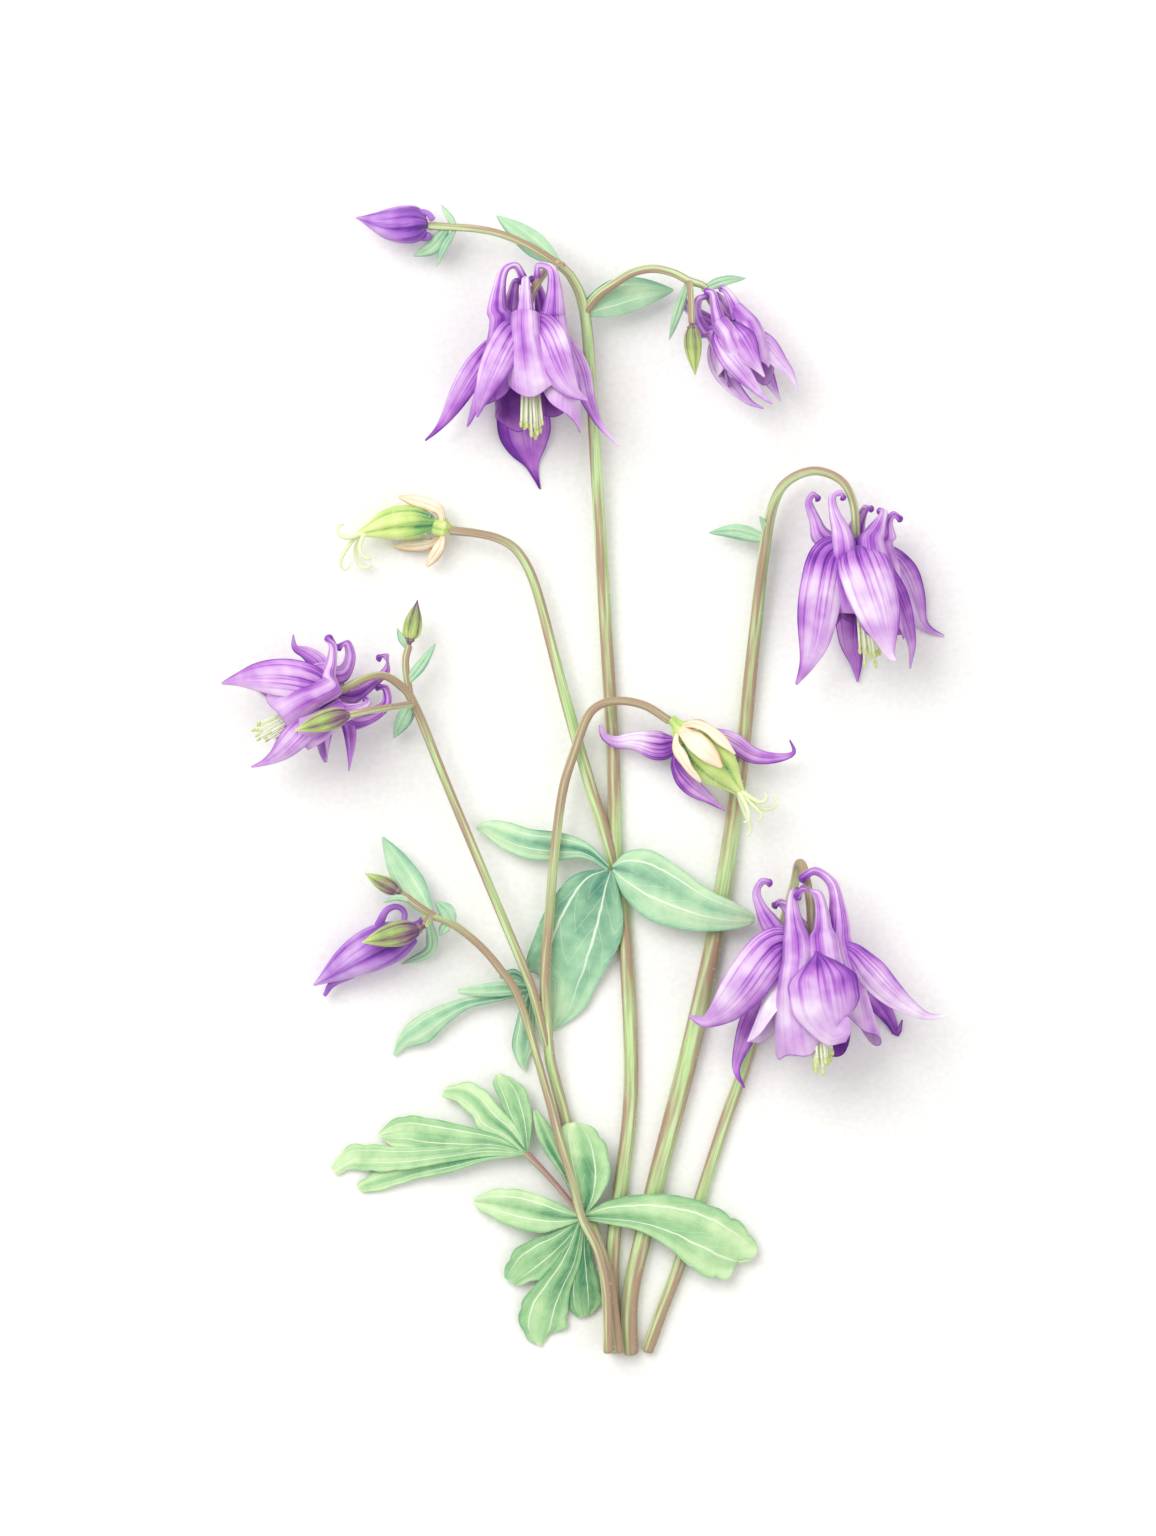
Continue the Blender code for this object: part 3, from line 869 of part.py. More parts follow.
def add_pods():
    parts = [spindle((-30.4, 51.6, 4.4), (-45.6, 49.5, 4.6), 3.3, POD_SHAPE, 5, 0.12, 10, 7, (0, 1.0, 0))]
    parts.append(style([(-44.0, 50.0, 4.6), (-46.6, 48.2, 4.8), (-48.6, 45.2, 4.6), (-49.0, 43.4, 4.2),
                        (-48.2, 42.4, 4.0), (-47.2, 43.0, 4.2)]))
    parts.append(style([(-44.2, 49.8, 4.2), (-46.0, 46.8, 3.0), (-45.6, 44.0, 2.4), (-44.2, 42.7, 2.4),
                        (-42.8, 43.3, 2.6)]))
    parts.append(style([(-44.2, 49.8, 5.0), (-45.2, 46.6, 6.2), (-43.9, 44.6, 6.6), (-42.9, 44.6, 6.4)]))
    parts.append(style([(-44.4, 49.8, 4.8), (-47.6, 48.7, 6.4), (-49.5, 49.6, 6.8), (-49.2, 51.2, 6.6),
                        (-48.3, 51.4, 6.4)]))
    fuse("pod_left", parts, POD_GREEN)
    parts = [spindle((20.2, 9.2, 9.0), (31.2, -2.4, 9.2), 4.2, POD_SHAPE, 5, 0.12, 10, 7, (0.2, 0.3, 0))]
    parts.append(style([(30.0, -1.2, 9.2), (33.0, -3.2, 10.2), (34.8, -4.0, 10.6), (36.0, -3.2, 10.6),
                        (35.6, -2.2, 10.4)]))
    parts.append(style([(30.0, -1.2, 9.0), (34.0, -4.8, 8.6), (36.6, -5.4, 8.6), (38.0, -4.2, 8.8),
                        (37.6, -2.6, 8.8)]))
    parts.append(style([(30.0, -1.2, 9.2), (33.0, -4.4, 9.8), (34.9, -6.4, 9.4), (34.5, -7.9, 9.0)]))
    parts.append(style([(30.0, -1.2, 9.4), (32.0, -5.0, 10.8), (32.4, -7.6, 10.6), (31.5, -8.0, 10.2)]))
    parts.append(style([(30.0, -1.2, 9.0), (31.4, -5.6, 7.8), (32.9, -9.2, 7.2), (32.2, -10.7, 7.0)]))
    fuse("pod_center", parts, POD_GREEN)
    parts = [ball((-28.6, 50.3, 5.0), 1.15)]
    parts.append(leaf_strip((-28.6, 50.6, 5.4), (-29.8, 54.6, 6.0), (-37.4, 57.0, 5.4), 1.3))
    parts.append(leaf_strip((-28.8, 50.0, 4.6), (-31.0, 47.6, 3.4), (-38.4, 47.0, 1.6), 1.2))
    parts.append(leaf_strip((-28.6, 50.0, 5.0), (-29.0, 47.4, 5.2), (-31.8, 43.0, 4.0), 1.2))
    fuse("staminodes_left", parts, PAPER_CREAM)
    parts = [ball((18.4, 11.0, 9.4), 0.95)]
    parts.append(strip([(18.4, 11.0, 9.8), (20.0, 9.6, 13.2), (23.4, 6.6, 14.9), (27.0, 3.0, 14.5)],
                       UP, 2.2, PAPER, 36, 0.0, 5))
    parts.append(strip([(18.4, 11.0, 9.8), (21.6, 11.8, 13.2), (25.8, 9.8, 14.0), (29.6, 5.6, 13.2)],
                       (0.5, 0.5, 1), 1.4, PAPER, 30, 0.0, 4))
    parts.append(strip([(18.4, 11.0, 9.6), (17.8, 7.4, 12.0), (19.8, 3.4, 12.6), (22.8, 0.0, 11.6)],
                       (-0.5, -0.5, 1), 1.3, PAPER, 30, 0.0, 4))
    fuse("staminodes_center", parts, PAPER_CREAM)
    parts = [ball((18.2, 8.2, 5.9), 0.8)]
    parts.append(strip([(18.2, 8.2, 5.8), (15.0, 7.2, 5.2), (10.0, 8.2, 4.8), (6.0, 8.0, 4.8),
                        (3.6, 9.2, 5.4), (2.9, 11.4, 6.4)], UP, 3.0, FADED, 25, 0.0, 5))
    parts.append(strip([(18.2, 8.2, 5.6), (18.0, 3.4, 4.8), (20.8, -0.6, 4.4), (24.6, -3.4, 4.4),
                        (27.8, -5.8, 4.6)], UP, 2.0, SEPAL, 25, 0.0, 5))
    parts.append(strip([(18.2, 8.2, 5.4), (22.6, 9.8, 4.0), (28.0, 8.8, 5.2), (33.2, 5.4, 6.0),
                        (38.0, 4.8, 6.4), (41.4, 5.8, 7.4), (40.6, 8.4, 8.0)], UP, 1.9, SEPAL, 25, 0.0, 7))
    fuse("faded_sepals", parts, PURPLE)


def add_buds():
    parts = [spindle((-31.9, 111.2, 6.6), (-45.9, 112.6, 5.8), 3.75, BUD_FAT, 5, 0.05, 10, 8, (0, -0.7, 0))]
    parts.append(tube([(-33.4, 113.6, 7.2, 0.8), (-31.6, 113.4, 7.6, 0.6), (-30.6, 112.2, 7.8, 0.7)], 4, 5))
    parts.append(tube([(-33.4, 108.8, 6.4, 0.8), (-32.0, 108.4, 6.6, 0.6), (-31.3, 109.2, 7.0, 0.7)], 4, 5))
    fuse("bud_top", parts, BUD_PURPLE)
    parts = [spindle((-34.4, -30.2, 4.9), (-54.4, -40.6, 4.2), 4.4, BUD_SHAPE, 5, 0.06, 10, 8, (-0.8, 0.6, 0))]
    parts.append(tube([(-41.4, -28.6, 5.4, 0.9), (-39.8, -25.6, 5.6, 0.7), (-37.6, -24.9, 5.6, 0.6),
                       (-36.2, -26.4, 5.6, 0.6), (-37.0, -30.6, 5.2, 0.7)], 4, 5))
    parts.append(tube([(-47.0, -38.0, 4.4, 1.4), (-50.6, -40.2, 3.6, 0.8), (-52.2, -42.6, 3.2, 0.4)], 6, 5))
    fuse("bud_left", parts, BUD_PURPLE)
    fuse("bud_left_over", [spindle((-33.4, -29.4, 11.7), (-44.6, -31.9, 12.0), 2.45, BUD_SHAPE, 5, 0.14)],
         BUD_GREEN)
    fuse("bud_left_small", [spindle((-37.6, -21.9, 7.0), (-44.1, -18.2, 6.2), 1.6, BUD_SHAPE, 5, 0.1, 8, 6)],
         BUD_GREEN)
    fuse("bud_side", [spindle((21.1, 90.6, 15.4), (21.7, 80.9, 14.8), 1.75, BUD_SHAPE, 5, 0.1, 8, 6)],
         BUD_GREEN)
    fuse("bud_upper", [spindle((-35.2, 28.6, 7.6), (-33.6, 36.3, 7.0), 1.8, BUD_FAT, 5, 0.1, 8, 6)],
         BUD_PURPLE)
    fuse("bud_front", [spindle((-47.2, 13.4, 21.3), (-57.8, 10.2, 20.6), 2.1, BUD_SHAPE, 5, 0.16, 10, 6)],
         BUD_GREEN)


def main():
    clear_scene()
    bpy.context.scene.collection.children.link(PLANT)
    add_bloom_top()
    add_bloom_right()
    add_bloom_low()
    add_bloom_left()
    add_bloom_small()
    add_stem_main()
    add_stem_tall_right()
    add_stem_low_right()
    add_stem_left()
    add_stem_bud()
    add_leaf_upper()
    add_leaf_mid()
    add_leaf_basal()
    add_pods()
    add_buds()


main()
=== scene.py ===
"""The cut columbine spray with its full look: veined leaves, streaked petals with hooked spurs,
stamens, ribbed pods and downy stems. Places are in millimetres, as in the part's own source:
x across the spray, y along it, z above the table. Each fine piece stands where its solid is."""
import math
import random

import bmesh
import bpy
import numpy as np
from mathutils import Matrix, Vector, noise


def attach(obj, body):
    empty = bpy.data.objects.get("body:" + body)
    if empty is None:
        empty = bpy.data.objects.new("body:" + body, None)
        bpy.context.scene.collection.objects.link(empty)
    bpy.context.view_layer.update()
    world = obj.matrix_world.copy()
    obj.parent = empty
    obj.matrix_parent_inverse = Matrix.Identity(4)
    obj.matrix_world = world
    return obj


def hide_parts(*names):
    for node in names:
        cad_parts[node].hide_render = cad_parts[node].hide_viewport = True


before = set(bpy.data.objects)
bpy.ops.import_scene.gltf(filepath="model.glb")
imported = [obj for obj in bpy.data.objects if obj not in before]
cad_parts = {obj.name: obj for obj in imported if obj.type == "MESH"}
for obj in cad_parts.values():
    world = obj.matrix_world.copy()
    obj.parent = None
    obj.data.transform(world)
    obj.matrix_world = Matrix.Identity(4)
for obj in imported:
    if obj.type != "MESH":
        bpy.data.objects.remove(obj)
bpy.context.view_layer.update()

MM = 0.001
UP = Vector((0, 0, 1))
chance = random.Random(7)


# Materials

def linear(code):
    """An sRGB hex colour as linear red, green, blue and alpha."""
    parts = [int(code[k:k + 2], 16) / 255 for k in (1, 3, 5)]
    return (*[c / 12.92 if c <= 0.04045 else ((c + 0.055) / 1.055) ** 2.4 for c in parts], 1.0)


def feed(tree, socket, value):
    """Link a socket to another or to a node's first output, or else set its value."""
    if isinstance(value, bpy.types.Node):
        value = value.outputs[0]
    if isinstance(value, bpy.types.NodeSocket):
        tree.links.new(value, socket)
    else:
        socket.default_value = value


def add(tree, kind, inputs=None, stops=None, **settings):
    """Add a node with its settings, feed its inputs, and place a colour ramp's stops."""
    made = tree.nodes.new(kind)
    for key, value in settings.items():
        setattr(made, key, value)
    for key, value in (inputs or {}).items():
        feed(tree, made.inputs[key], value)
    if stops:
        ramp = made.color_ramp
        while len(ramp.elements) < len(stops):
            ramp.elements.new(1.0)
        for element, (place, code) in zip(ramp.elements, stops):
            element.position = place
            element.color = linear(code)
    return made


# Sockets of a Mix node's two colours and of its result
FIRST, SECOND, MIXED = 6, 7, 2


def finish_named(name, roughness, **constants):
    """A new material with its tree and shader. Constants are set on the shader's own sockets."""
    made = bpy.data.materials.new(name)
    made.use_nodes = True
    tree = made.node_tree
    shader = tree.nodes["Principled BSDF"]
    shader.inputs["Roughness"].default_value = roughness
    for key, value in constants.items():
        shader.inputs[key.replace("_", " ")].default_value = value
    return made, tree, shader


def tinted(tree, stops, cloud, wash, *marks):
    """A skin's colour: its stops read at each point's tone, with marks added and the cloud
    making it darker and paler by wash."""
    total = add(tree, "ShaderNodeAttribute", attribute_name="tone").outputs["Fac"]
    mottle = add(tree, "ShaderNodeMapRange", {"Value": cloud, "From Min": 0.3, "From Max": 0.7,
            "To Min": -wash, "To Max": wash})
    for part in (*marks, mottle):
        total = add(tree, "ShaderNodeMath", {0: total, 1: part}, operation="ADD")
    return add(tree, "ShaderNodeValToRGB", {0: total}, stops)


def coat(tree, shader, colour, height, strength, depth):
    """Give a shader its colour and a relief, whose depth is in metres."""
    relief = add(tree, "ShaderNodeBump", {"Height": height, "Strength": strength, "Distance": depth})
    feed(tree, shader.inputs["Base Color"], colour)
    feed(tree, shader.inputs["Normal"], relief)


def petal_tissue(name, stops, darkness=0.42, rays=15.0, wash=0.16):
    """Thin velvety petal skin: dark rays fan out from the base and fade towards the tip, a soft
    wash of colour lies over the blade, and the light catches a fine nap. The rays are those
    across one blade, about 0.5 mm apart on a petal."""
    made, tree, shader = finish_named(name, 0.62, Sheen_Weight=0.2, Sheen_Roughness=0.6,
                                      Specular_IOR_Level=0.3, IOR=1.4)
    blade = add(tree, "ShaderNodeUVMap", uv_map="blade")
    drawn = add(tree, "ShaderNodeMapping", {"Vector": blade, "Scale": (rays, 1.1, 1.0)})
    cells = add(tree, "ShaderNodeTexNoise", {"Vector": drawn, "Scale": 1.0, "Detail": 3.0,
            "Roughness": 0.55})
    place = add(tree, "ShaderNodeTexCoord")
    cloud = add(tree, "ShaderNodeTexNoise", {"Vector": place.outputs["Object"], "Scale": 170.0,
            "Detail": 2.0})
    parts = add(tree, "ShaderNodeSeparateXYZ", {0: blade})
    fade = add(tree, "ShaderNodeMapRange", {"Value": parts.outputs["Y"], "From Min": 0.1, "From Max": 0.8,
            "To Min": darkness, "To Max": darkness * 0.14})
    dark = add(tree, "ShaderNodeMapRange", {"Value": cells, "From Min": 0.46, "From Max": 0.64,
            "To Min": -0.2, "To Max": 1.0}, interpolation_type="SMOOTHSTEP")
    streaks = add(tree, "ShaderNodeMath", {0: dark, 1: fade}, operation="MULTIPLY")
    colour = tinted(tree, stops, cloud, wash, streaks)
    coat(tree, shader, colour, cells, 0.25, 0.0003)
    return made


def leaf_skin(name, stops, vein):
    """Matt leaf skin with a waxy bloom: pale veins fan out from each leaflet's base, finer ones
    fork from them, and the blade between is mottled. On a wide leaflet a main vein is about
    0.4 mm wide."""
    made, tree, shader = finish_named(name, 0.58, Sheen_Weight=0.12, Specular_IOR_Level=0.35, IOR=1.42)
    blade = add(tree, "ShaderNodeUVMap", uv_map="blade")
    place = add(tree, "ShaderNodeTexCoord")
    sway = add(tree, "ShaderNodeTexNoise", {"Vector": place.outputs["Object"], "Scale": 260.0})
    parts = add(tree, "ShaderNodeSeparateXYZ", {0: blade})
    bent = add(tree, "ShaderNodeMath", {0: sway, 1: 0.05, 2: parts.outputs["X"]}, operation="MULTIPLY_ADD")
    # A main vein lies wherever fan is whole, which is at two places across a leaflet
    fan = add(tree, "ShaderNodeMath", {0: bent, 1: 2.2, 2: 0.445}, operation="MULTIPLY_ADD")
    gap = add(tree, "ShaderNodeMath", {0: fan, 1: 0.5}, operation="PINGPONG")
    main = add(tree, "ShaderNodeMapRange", {"Value": gap, "From Min": 0.012, "From Max": 0.055,
            "To Min": 1.0, "To Max": 0.0}, interpolation_type="SMOOTHSTEP")
    # A finer one forks off wherever rise is whole
    slant = add(tree, "ShaderNodeMath", {0: gap, 1: -2.6}, operation="MULTIPLY")
    rise = add(tree, "ShaderNodeMath", {0: parts.outputs["Y"], 1: 6.0, 2: slant}, operation="MULTIPLY_ADD")
    fork = add(tree, "ShaderNodeMath", {0: rise, 1: 0.5}, operation="PINGPONG")
    fine = add(tree, "ShaderNodeMapRange", {"Value": fork, "From Min": 0.01, "From Max": 0.05,
            "To Min": 0.36, "To Max": 0.0})
    veins = add(tree, "ShaderNodeMath", {0: main, 1: fine}, operation="MAXIMUM")
    cloud = add(tree, "ShaderNodeTexNoise", {"Vector": place.outputs["Object"], "Scale": 170.0,
            "Detail": 5.0, "Roughness": 0.6})
    waning = add(tree, "ShaderNodeMapRange", {"Value": parts.outputs["Y"], "From Min": 0.45,
            "From Max": 0.95, "To Min": 0.8, "To Max": 0.15})
    share = add(tree, "ShaderNodeMath", {0: veins, 1: waning}, operation="MULTIPLY")
    colour = add(tree, "ShaderNodeMix", {"Factor": share, SECOND: linear(vein),
            FIRST: tinted(tree, stops, cloud, 0.16)}, data_type="RGBA")
    high = add(tree, "ShaderNodeMath", {0: veins, 1: 0.6, 2: cloud}, operation="MULTIPLY_ADD")
    coat(tree, shader, colour.outputs[MIXED], high, 0.35, 0.0004)
    return made


def stem_skin(name, stops, blush, amount):
    """Smooth herbaceous stem: long fibres under a thin skin, green with a rusty blush in patches, most on
    the thin flower stalks, and the same rusty colour laid on low on the spray as painted shade under the
    basal leaf. On the main stem the fibres are about 0.4 mm apart."""
    made, tree, shader = finish_named(name, 0.5, Sheen_Weight=0.1, Specular_IOR_Level=0.4, IOR=1.42)
    around = add(tree, "ShaderNodeAttribute", attribute_name="around")
    along = add(tree, "ShaderNodeAttribute", attribute_name="along")
    thin = add(tree, "ShaderNodeAttribute", attribute_name="thin")
    run = add(tree, "ShaderNodeCombineXYZ", {"Z": along.outputs["Fac"]})
    # Fibres are fine and long, patches of blush are broad
    noises = []
    for turns, lengths, detail in ((3.4, 90.0, 4.0), (0.9, 42.0, 3.0)):
        turned = add(tree, "ShaderNodeMapping", {"Vector": around.outputs["Vector"],
                "Scale": (turns, turns, turns)})
        way = add(tree, "ShaderNodeMapping", {"Vector": run, "Scale": (1.0, 1.0, lengths)})
        spot = add(tree, "ShaderNodeVectorMath", {0: turned, 1: way}, operation="ADD")
        noises.append(add(tree, "ShaderNodeTexNoise", {"Vector": spot, "Scale": 1.0, "Detail": detail}))
    fibres, patches = noises
    place = add(tree, "ShaderNodeTexCoord")
    parts = add(tree, "ShaderNodeSeparateXYZ", {0: place.outputs["Object"]})
    # Painted shade: more of the rusty colour low on the spray, where the basal leaf lies over the stems
    foot = add(tree, "ShaderNodeMapRange", {"Value": parts.outputs["Y"], "From Min": -0.062,
            "From Max": -0.084, "To Min": 0.0, "To Max": 0.045})
    low = add(tree, "ShaderNodeMath", {0: patches, 1: foot}, operation="ADD")
    warm = add(tree, "ShaderNodeMath", {0: thin.outputs["Fac"], 1: 0.06, 2: low}, operation="MULTIPLY_ADD")
    red = add(tree, "ShaderNodeMapRange", {"Value": warm, "From Min": 0.43, "From Max": 0.59, "To Min": 0.0,
            "To Max": amount})
    colour = add(tree, "ShaderNodeMix", {"Factor": red, SECOND: linear(blush),
            FIRST: tinted(tree, stops, fibres, 0.3)}, data_type="RGBA")
    coat(tree, shader, colour.outputs[MIXED], fibres, 0.25, 0.0002)
    return made


# Columbine petals: violet cell sap, nearly colourless at the thin tips and edges
PETAL = petal_tissue("columbine_petal", [
    (0.0, "#F8F1F8"), (0.2, "#E6CFEA"), (0.42, "#CFA2DC"), (0.62, "#B26EC9"), (0.82, "#8A3FB0"),
    (1.0, "#5E228C")])
# Bud skin: petals still folded, violet on the large buds and green with a rosy base on the young
BUD_VIOLET = petal_tissue("bud_petal", [
    (0.0, "#E3D6EC"), (0.2, "#CFACDE"), (0.45, "#AF78CC"), (0.7, "#8B48B4"), (1.0, "#582286")],
    darkness=0.3, rays=16.0)
BUD_GREEN = petal_tissue("young_bud", [
    (0.0, "#E4EBB0"), (0.3, "#C3D080"), (0.55, "#96AD63"), (0.75, "#8A6A74"), (1.0, "#5F3A66")],
    darkness=0.22, rays=12.0)
# Leaves: waxy blue-green on the stems, fresh yellow-green at the base
LEAF_BLUE = leaf_skin("waxy_upper_leaf", [
    (0.0, "#E2F2CE"), (0.3, "#C6E3B8"), (0.6, "#9CC9A2"), (1.0, "#4E8A72")], "#EDF7E2")
LEAF_FRESH = leaf_skin("fresh_basal_leaf", [
    (0.0, "#E4F2CA"), (0.3, "#CAE5B0"), (0.6, "#9CC890"), (1.0, "#4C8C62")], "#F0F8DC")
BRACT_SKIN = leaf_skin("stem_bract", [
    (0.0, "#D6EAC6"), (0.3, "#B4D8B0"), (0.6, "#8CBE9C"), (1.0, "#5C9680")], "#E6F2D6")
# Stems: yellow-green with a rusty blush, and the same colour as painted shade low on the spray
STEM = stem_skin("herbaceous_stem", [
    (0.0, "#E0EFC4"), (0.4, "#BEDB98"), (0.7, "#9CC27E"), (1.0, "#709A62")], "#A87A70", 0.82)
# The basal leaf's own stalk: duller green, with a rosy blush that also stands for painted shade low on the
# spray
LEAF_STALK = stem_skin("leaf_stalk", [
    (0.0, "#D8DDB0"), (0.5, "#B7BE92"), (1.0, "#8E9B74")], "#A06C76", 0.85)
# Seed pods: five leathery follicles joined at their seams, with fine lengthwise veins
POD = petal_tissue("green_follicle", [
    (0.0, "#EAF2B4"), (0.3, "#D3E48E"), (0.55, "#B5D173"), (0.8, "#84B56B"), (1.0, "#4F8A58")],
    darkness=0.2, rays=26.0)
# Dry flaps round a pod: thin, creamy, browned like old paper
PAPER = petal_tissue("papery_flap", [
    (0.0, "#FBF5E6"), (0.35, "#F5E8D0"), (0.6, "#EBD2AC"), (0.8, "#D4A070"), (1.0, "#946E54")],
    darkness=0.3, rays=12.0)
# Anthers and styles: pale green threads tipped with yellow pollen
STAMEN = petal_tissue("stamen_thread", [
    (0.0, "#F2F7DA"), (0.4, "#E4EDBC"), (0.7, "#D3DD96"), (1.0, "#B4BC68")],
    darkness=0.05, rays=3.0, wash=0.05)
# Down: short pale hairs on the stems and pods
DOWN = stem_skin("plant_hair", [(0.0, "#F2F5E4"), (1.0, "#DCE4C8")], "#D8D0C0", 0.2)


# Smooth lines and sheets

def smooth(points, step=None, pieces=None):
    """More points on a Catmull-Rom line through points, or more rings through rings of points:
    about step apart, or else so many pieces between each two."""
    pts = [np.array(p, float) for p in points]
    pts = [2 * pts[0] - pts[1], *pts, 2 * pts[-1] - pts[-2]]
    line = []
    for a, b, c, d in zip(pts, pts[1:], pts[2:], pts[3:]):
        count = pieces or max(1, round(float(np.linalg.norm(c[:3] - b[:3])) / step))
        for t in (k / count for k in range(count)):
            line.append(0.5 * (2 * b + (c - a) * t + (2 * a - 5 * b + 4 * c - d) * t * t
                               + (3 * b - a - 3 * c + d) * t ** 3))
    line.append(pts[-2])
    return np.array(line)


def between(table, t):
    """The value at t of a smooth line through (t, value) pairs, flat where they turn."""
    slopes = [(b[1] - a[1]) / (b[0] - a[0]) for a, b in zip(table, table[1:])]
    inner = [(m + n) / 2 if m * n > 0 else 0.0 for m, n in zip(slopes, slopes[1:])]
    bends = [slopes[0], *inner, slopes[-1]]
    for k, ((t0, v0), (t1, v1)) in enumerate(zip(table, table[1:])):
        if t <= t1:
            wide = t1 - t0
            s = (t - t0) / wide
            return ((2 * s ** 3 - 3 * s * s + 1) * v0 + (s ** 3 - 2 * s * s + s) * wide * bends[k]
                    + (3 * s * s - 2 * s ** 3) * v1 + (s ** 3 - s * s) * wide * bends[k + 1])
    return table[-1][1]


def step_up(low, high, value):
    """0 below low, 1 above high and a smooth rise between."""
    t = np.clip((np.asarray(value, float) - low) / (high - low), 0, 1)
    return t * t * (3 - 2 * t)


class Spine:
    """A smooth line in space, read by the share of its length."""

    def __init__(self, points):
        self.line = smooth([p[:3] for p in points], 0.5)
        steps = np.linalg.norm(np.diff(self.line, axis=0), axis=1)
        self.run = np.concatenate([[0.0], np.cumsum(steps)])
        self.length = self.run[-1]

    def point(self, share):
        way = min(max(share, 0.0), 1.0) * self.length
        return Vector([float(np.interp(way, self.run, self.line[:, k])) for k in range(3)])

    def tangent(self, share):
        return (self.point(min(share + 0.03, 1)) - self.point(max(share - 0.03, 0))).normalized()


def in_scene(name, data):
    """A new object of this mesh, curve, lamp or camera."""
    made = bpy.data.objects.new(name, data)
    bpy.context.scene.collection.objects.link(made)
    return made


LOWEST = 0.02       # mm above the table, so that no blade sinks into it
WELD = 0.001        # mm between points that are joined
SHARP = 70          # degrees between faces that meet at an edge


class Piece:
    """The sheets and closed forms of one piece: points in millimetres, faces, each corner's
    place on its blade and each point's tone."""

    def __init__(self):
        self.points = []
        self.tones = []
        self.faces = []
        self.corners = []
        self.count = 0

    def patch(self, grid, tones, flip=False, repeat=1.0):
        """Add a grid of points as quads. Its places run 0 to repeat across and 0 to 1 along."""
        rows, columns = grid.shape[:2]
        start = self.count
        self.points.append(grid.reshape(-1, 3))
        self.tones.append(tones.reshape(-1))
        self.count += rows * columns
        for r in range(rows - 1):
            for c in range(columns - 1):
                a = start + r * columns + c
                quad = [(a, r, c), (a + 1, r, c + 1), (a + columns + 1, r + 1, c + 1),
                        (a + columns, r + 1, c)]
                if flip:
                    quad.reverse()
                self.faces.append([q[0] for q in quad])
                self.corners += [(q[2] / (columns - 1) * repeat, q[1] / (rows - 1)) for q in quad]

    def sheet(self, grid, tones, thickness, darker):
        """Add a closed blade round a grid of points, thinner towards its side edges, with painted shade
        making its underside darker."""
        normal = np.cross(np.gradient(grid, axis=1), np.gradient(grid, axis=0))
        normal /= np.maximum(np.linalg.norm(normal, axis=2, keepdims=True), 1e-9)
        aside = np.abs(np.linspace(-1, 1, grid.shape[1]))
        half = thickness / 2 * (1 - 0.55 * aside ** 4)[None, :, None]
        top = grid + normal * half
        low = grid - normal * half
        self.patch(top, tones)
        # Painted shade: the underside's tones are raised by darker
        self.patch(low, tones + darker, True)
        for edge, flip in ((np.s_[0], True), (np.s_[-1], False), (np.s_[:, 0], False), (np.s_[:, -1], True)):
            self.patch(np.stack([top[edge], low[edge]]), np.stack([tones[edge], tones[edge]]), flip)

    def form(self, rings, tones, repeat):
        """Add a closed form through rings of points, its ends drawn to a point."""
        rings = np.asarray(rings, float)
        first, last = [np.repeat(rings[k].mean(axis=0)[None], rings.shape[1], axis=0) for k in (0, -1)]
        rings = np.concatenate([first[None], rings, last[None]])
        tones = np.asarray(tones, float)
        tones = np.concatenate([tones[:1], tones, tones[-1:]])
        self.patch(np.concatenate([rings, rings[:, :1]], axis=1),
                   np.concatenate([tones, tones[:, :1]], axis=1), False, repeat)

    def make(self, name, skin):
        """The finished mesh object, in one skin."""
        points = np.concatenate(self.points)
        points[:, 2] = np.maximum(points[:, 2], LOWEST)
        mesh = bpy.data.meshes.new(name)
        mesh.from_pydata((points * MM).tolist(), [], self.faces)
        layer = mesh.uv_layers.new(name="blade")
        layer.data.foreach_set("uv", np.array(self.corners, np.float32).reshape(-1))
        tone = mesh.attributes.new("tone", "FLOAT", "POINT")
        tone.data.foreach_set("value", np.concatenate(self.tones).astype(np.float32))
        mesh.materials.append(skin)
        shape = bmesh.new()
        shape.from_mesh(mesh)
        bmesh.ops.remove_doubles(shape, verts=shape.verts, dist=WELD * MM)
        bmesh.ops.dissolve_degenerate(shape, edges=shape.edges, dist=WELD * MM / 2)
        bmesh.ops.recalc_face_normals(shape, faces=shape.faces)
        shape.to_mesh(mesh)
        shape.free()
        mesh.shade_smooth()
        mesh.set_sharp_from_angle(angle=math.radians(SHARP))
        return in_scene(name, mesh)


def dress(made, slot, *nodes):
    """A finished piece rides on the spray and stands for its solids. Its slot, the name of its finish, is
    not used.
    """
    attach(made, "root")
    if nodes:
        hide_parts(*nodes)
    return made


# Geometry trees: what repeats or follows a path

ON_POINTS = {"data_type": "FLOAT", "domain": "POINT"}


def tree_named(name, *inputs):
    """An empty geometry tree with its named inputs: (name, socket kind, value)."""
    tree = bpy.data.node_groups.new(name, "GeometryNodeTree")
    tree.interface.new_socket("Geometry", in_out="INPUT", socket_type="NodeSocketGeometry")
    for label, kind, value in inputs:
        made = tree.interface.new_socket(label, in_out="INPUT", socket_type="NodeSocket" + kind)
        if value is not None:
            made.default_value = value
    tree.interface.new_socket("Geometry", in_out="OUTPUT", socket_type="NodeSocketGeometry")
    return tree, tree.nodes.new("NodeGroupInput"), tree.nodes.new("NodeGroupOutput")


def completed(tree, given, result, shape, soft):
    """End a tree with real meshes for its instances, softly shaded or not, in the given finish."""
    whole = add(tree, "GeometryNodeRealizeInstances", {0: shape})
    shaded = add(tree, "GeometryNodeSetShadeSmooth", {"Geometry": whole, "Shade Smooth": soft})
    painted = add(tree, "GeometryNodeSetMaterial", {"Geometry": shaded,
            "Material": given.outputs["Finish"]})
    feed(tree, result.inputs[0], painted)
    return tree


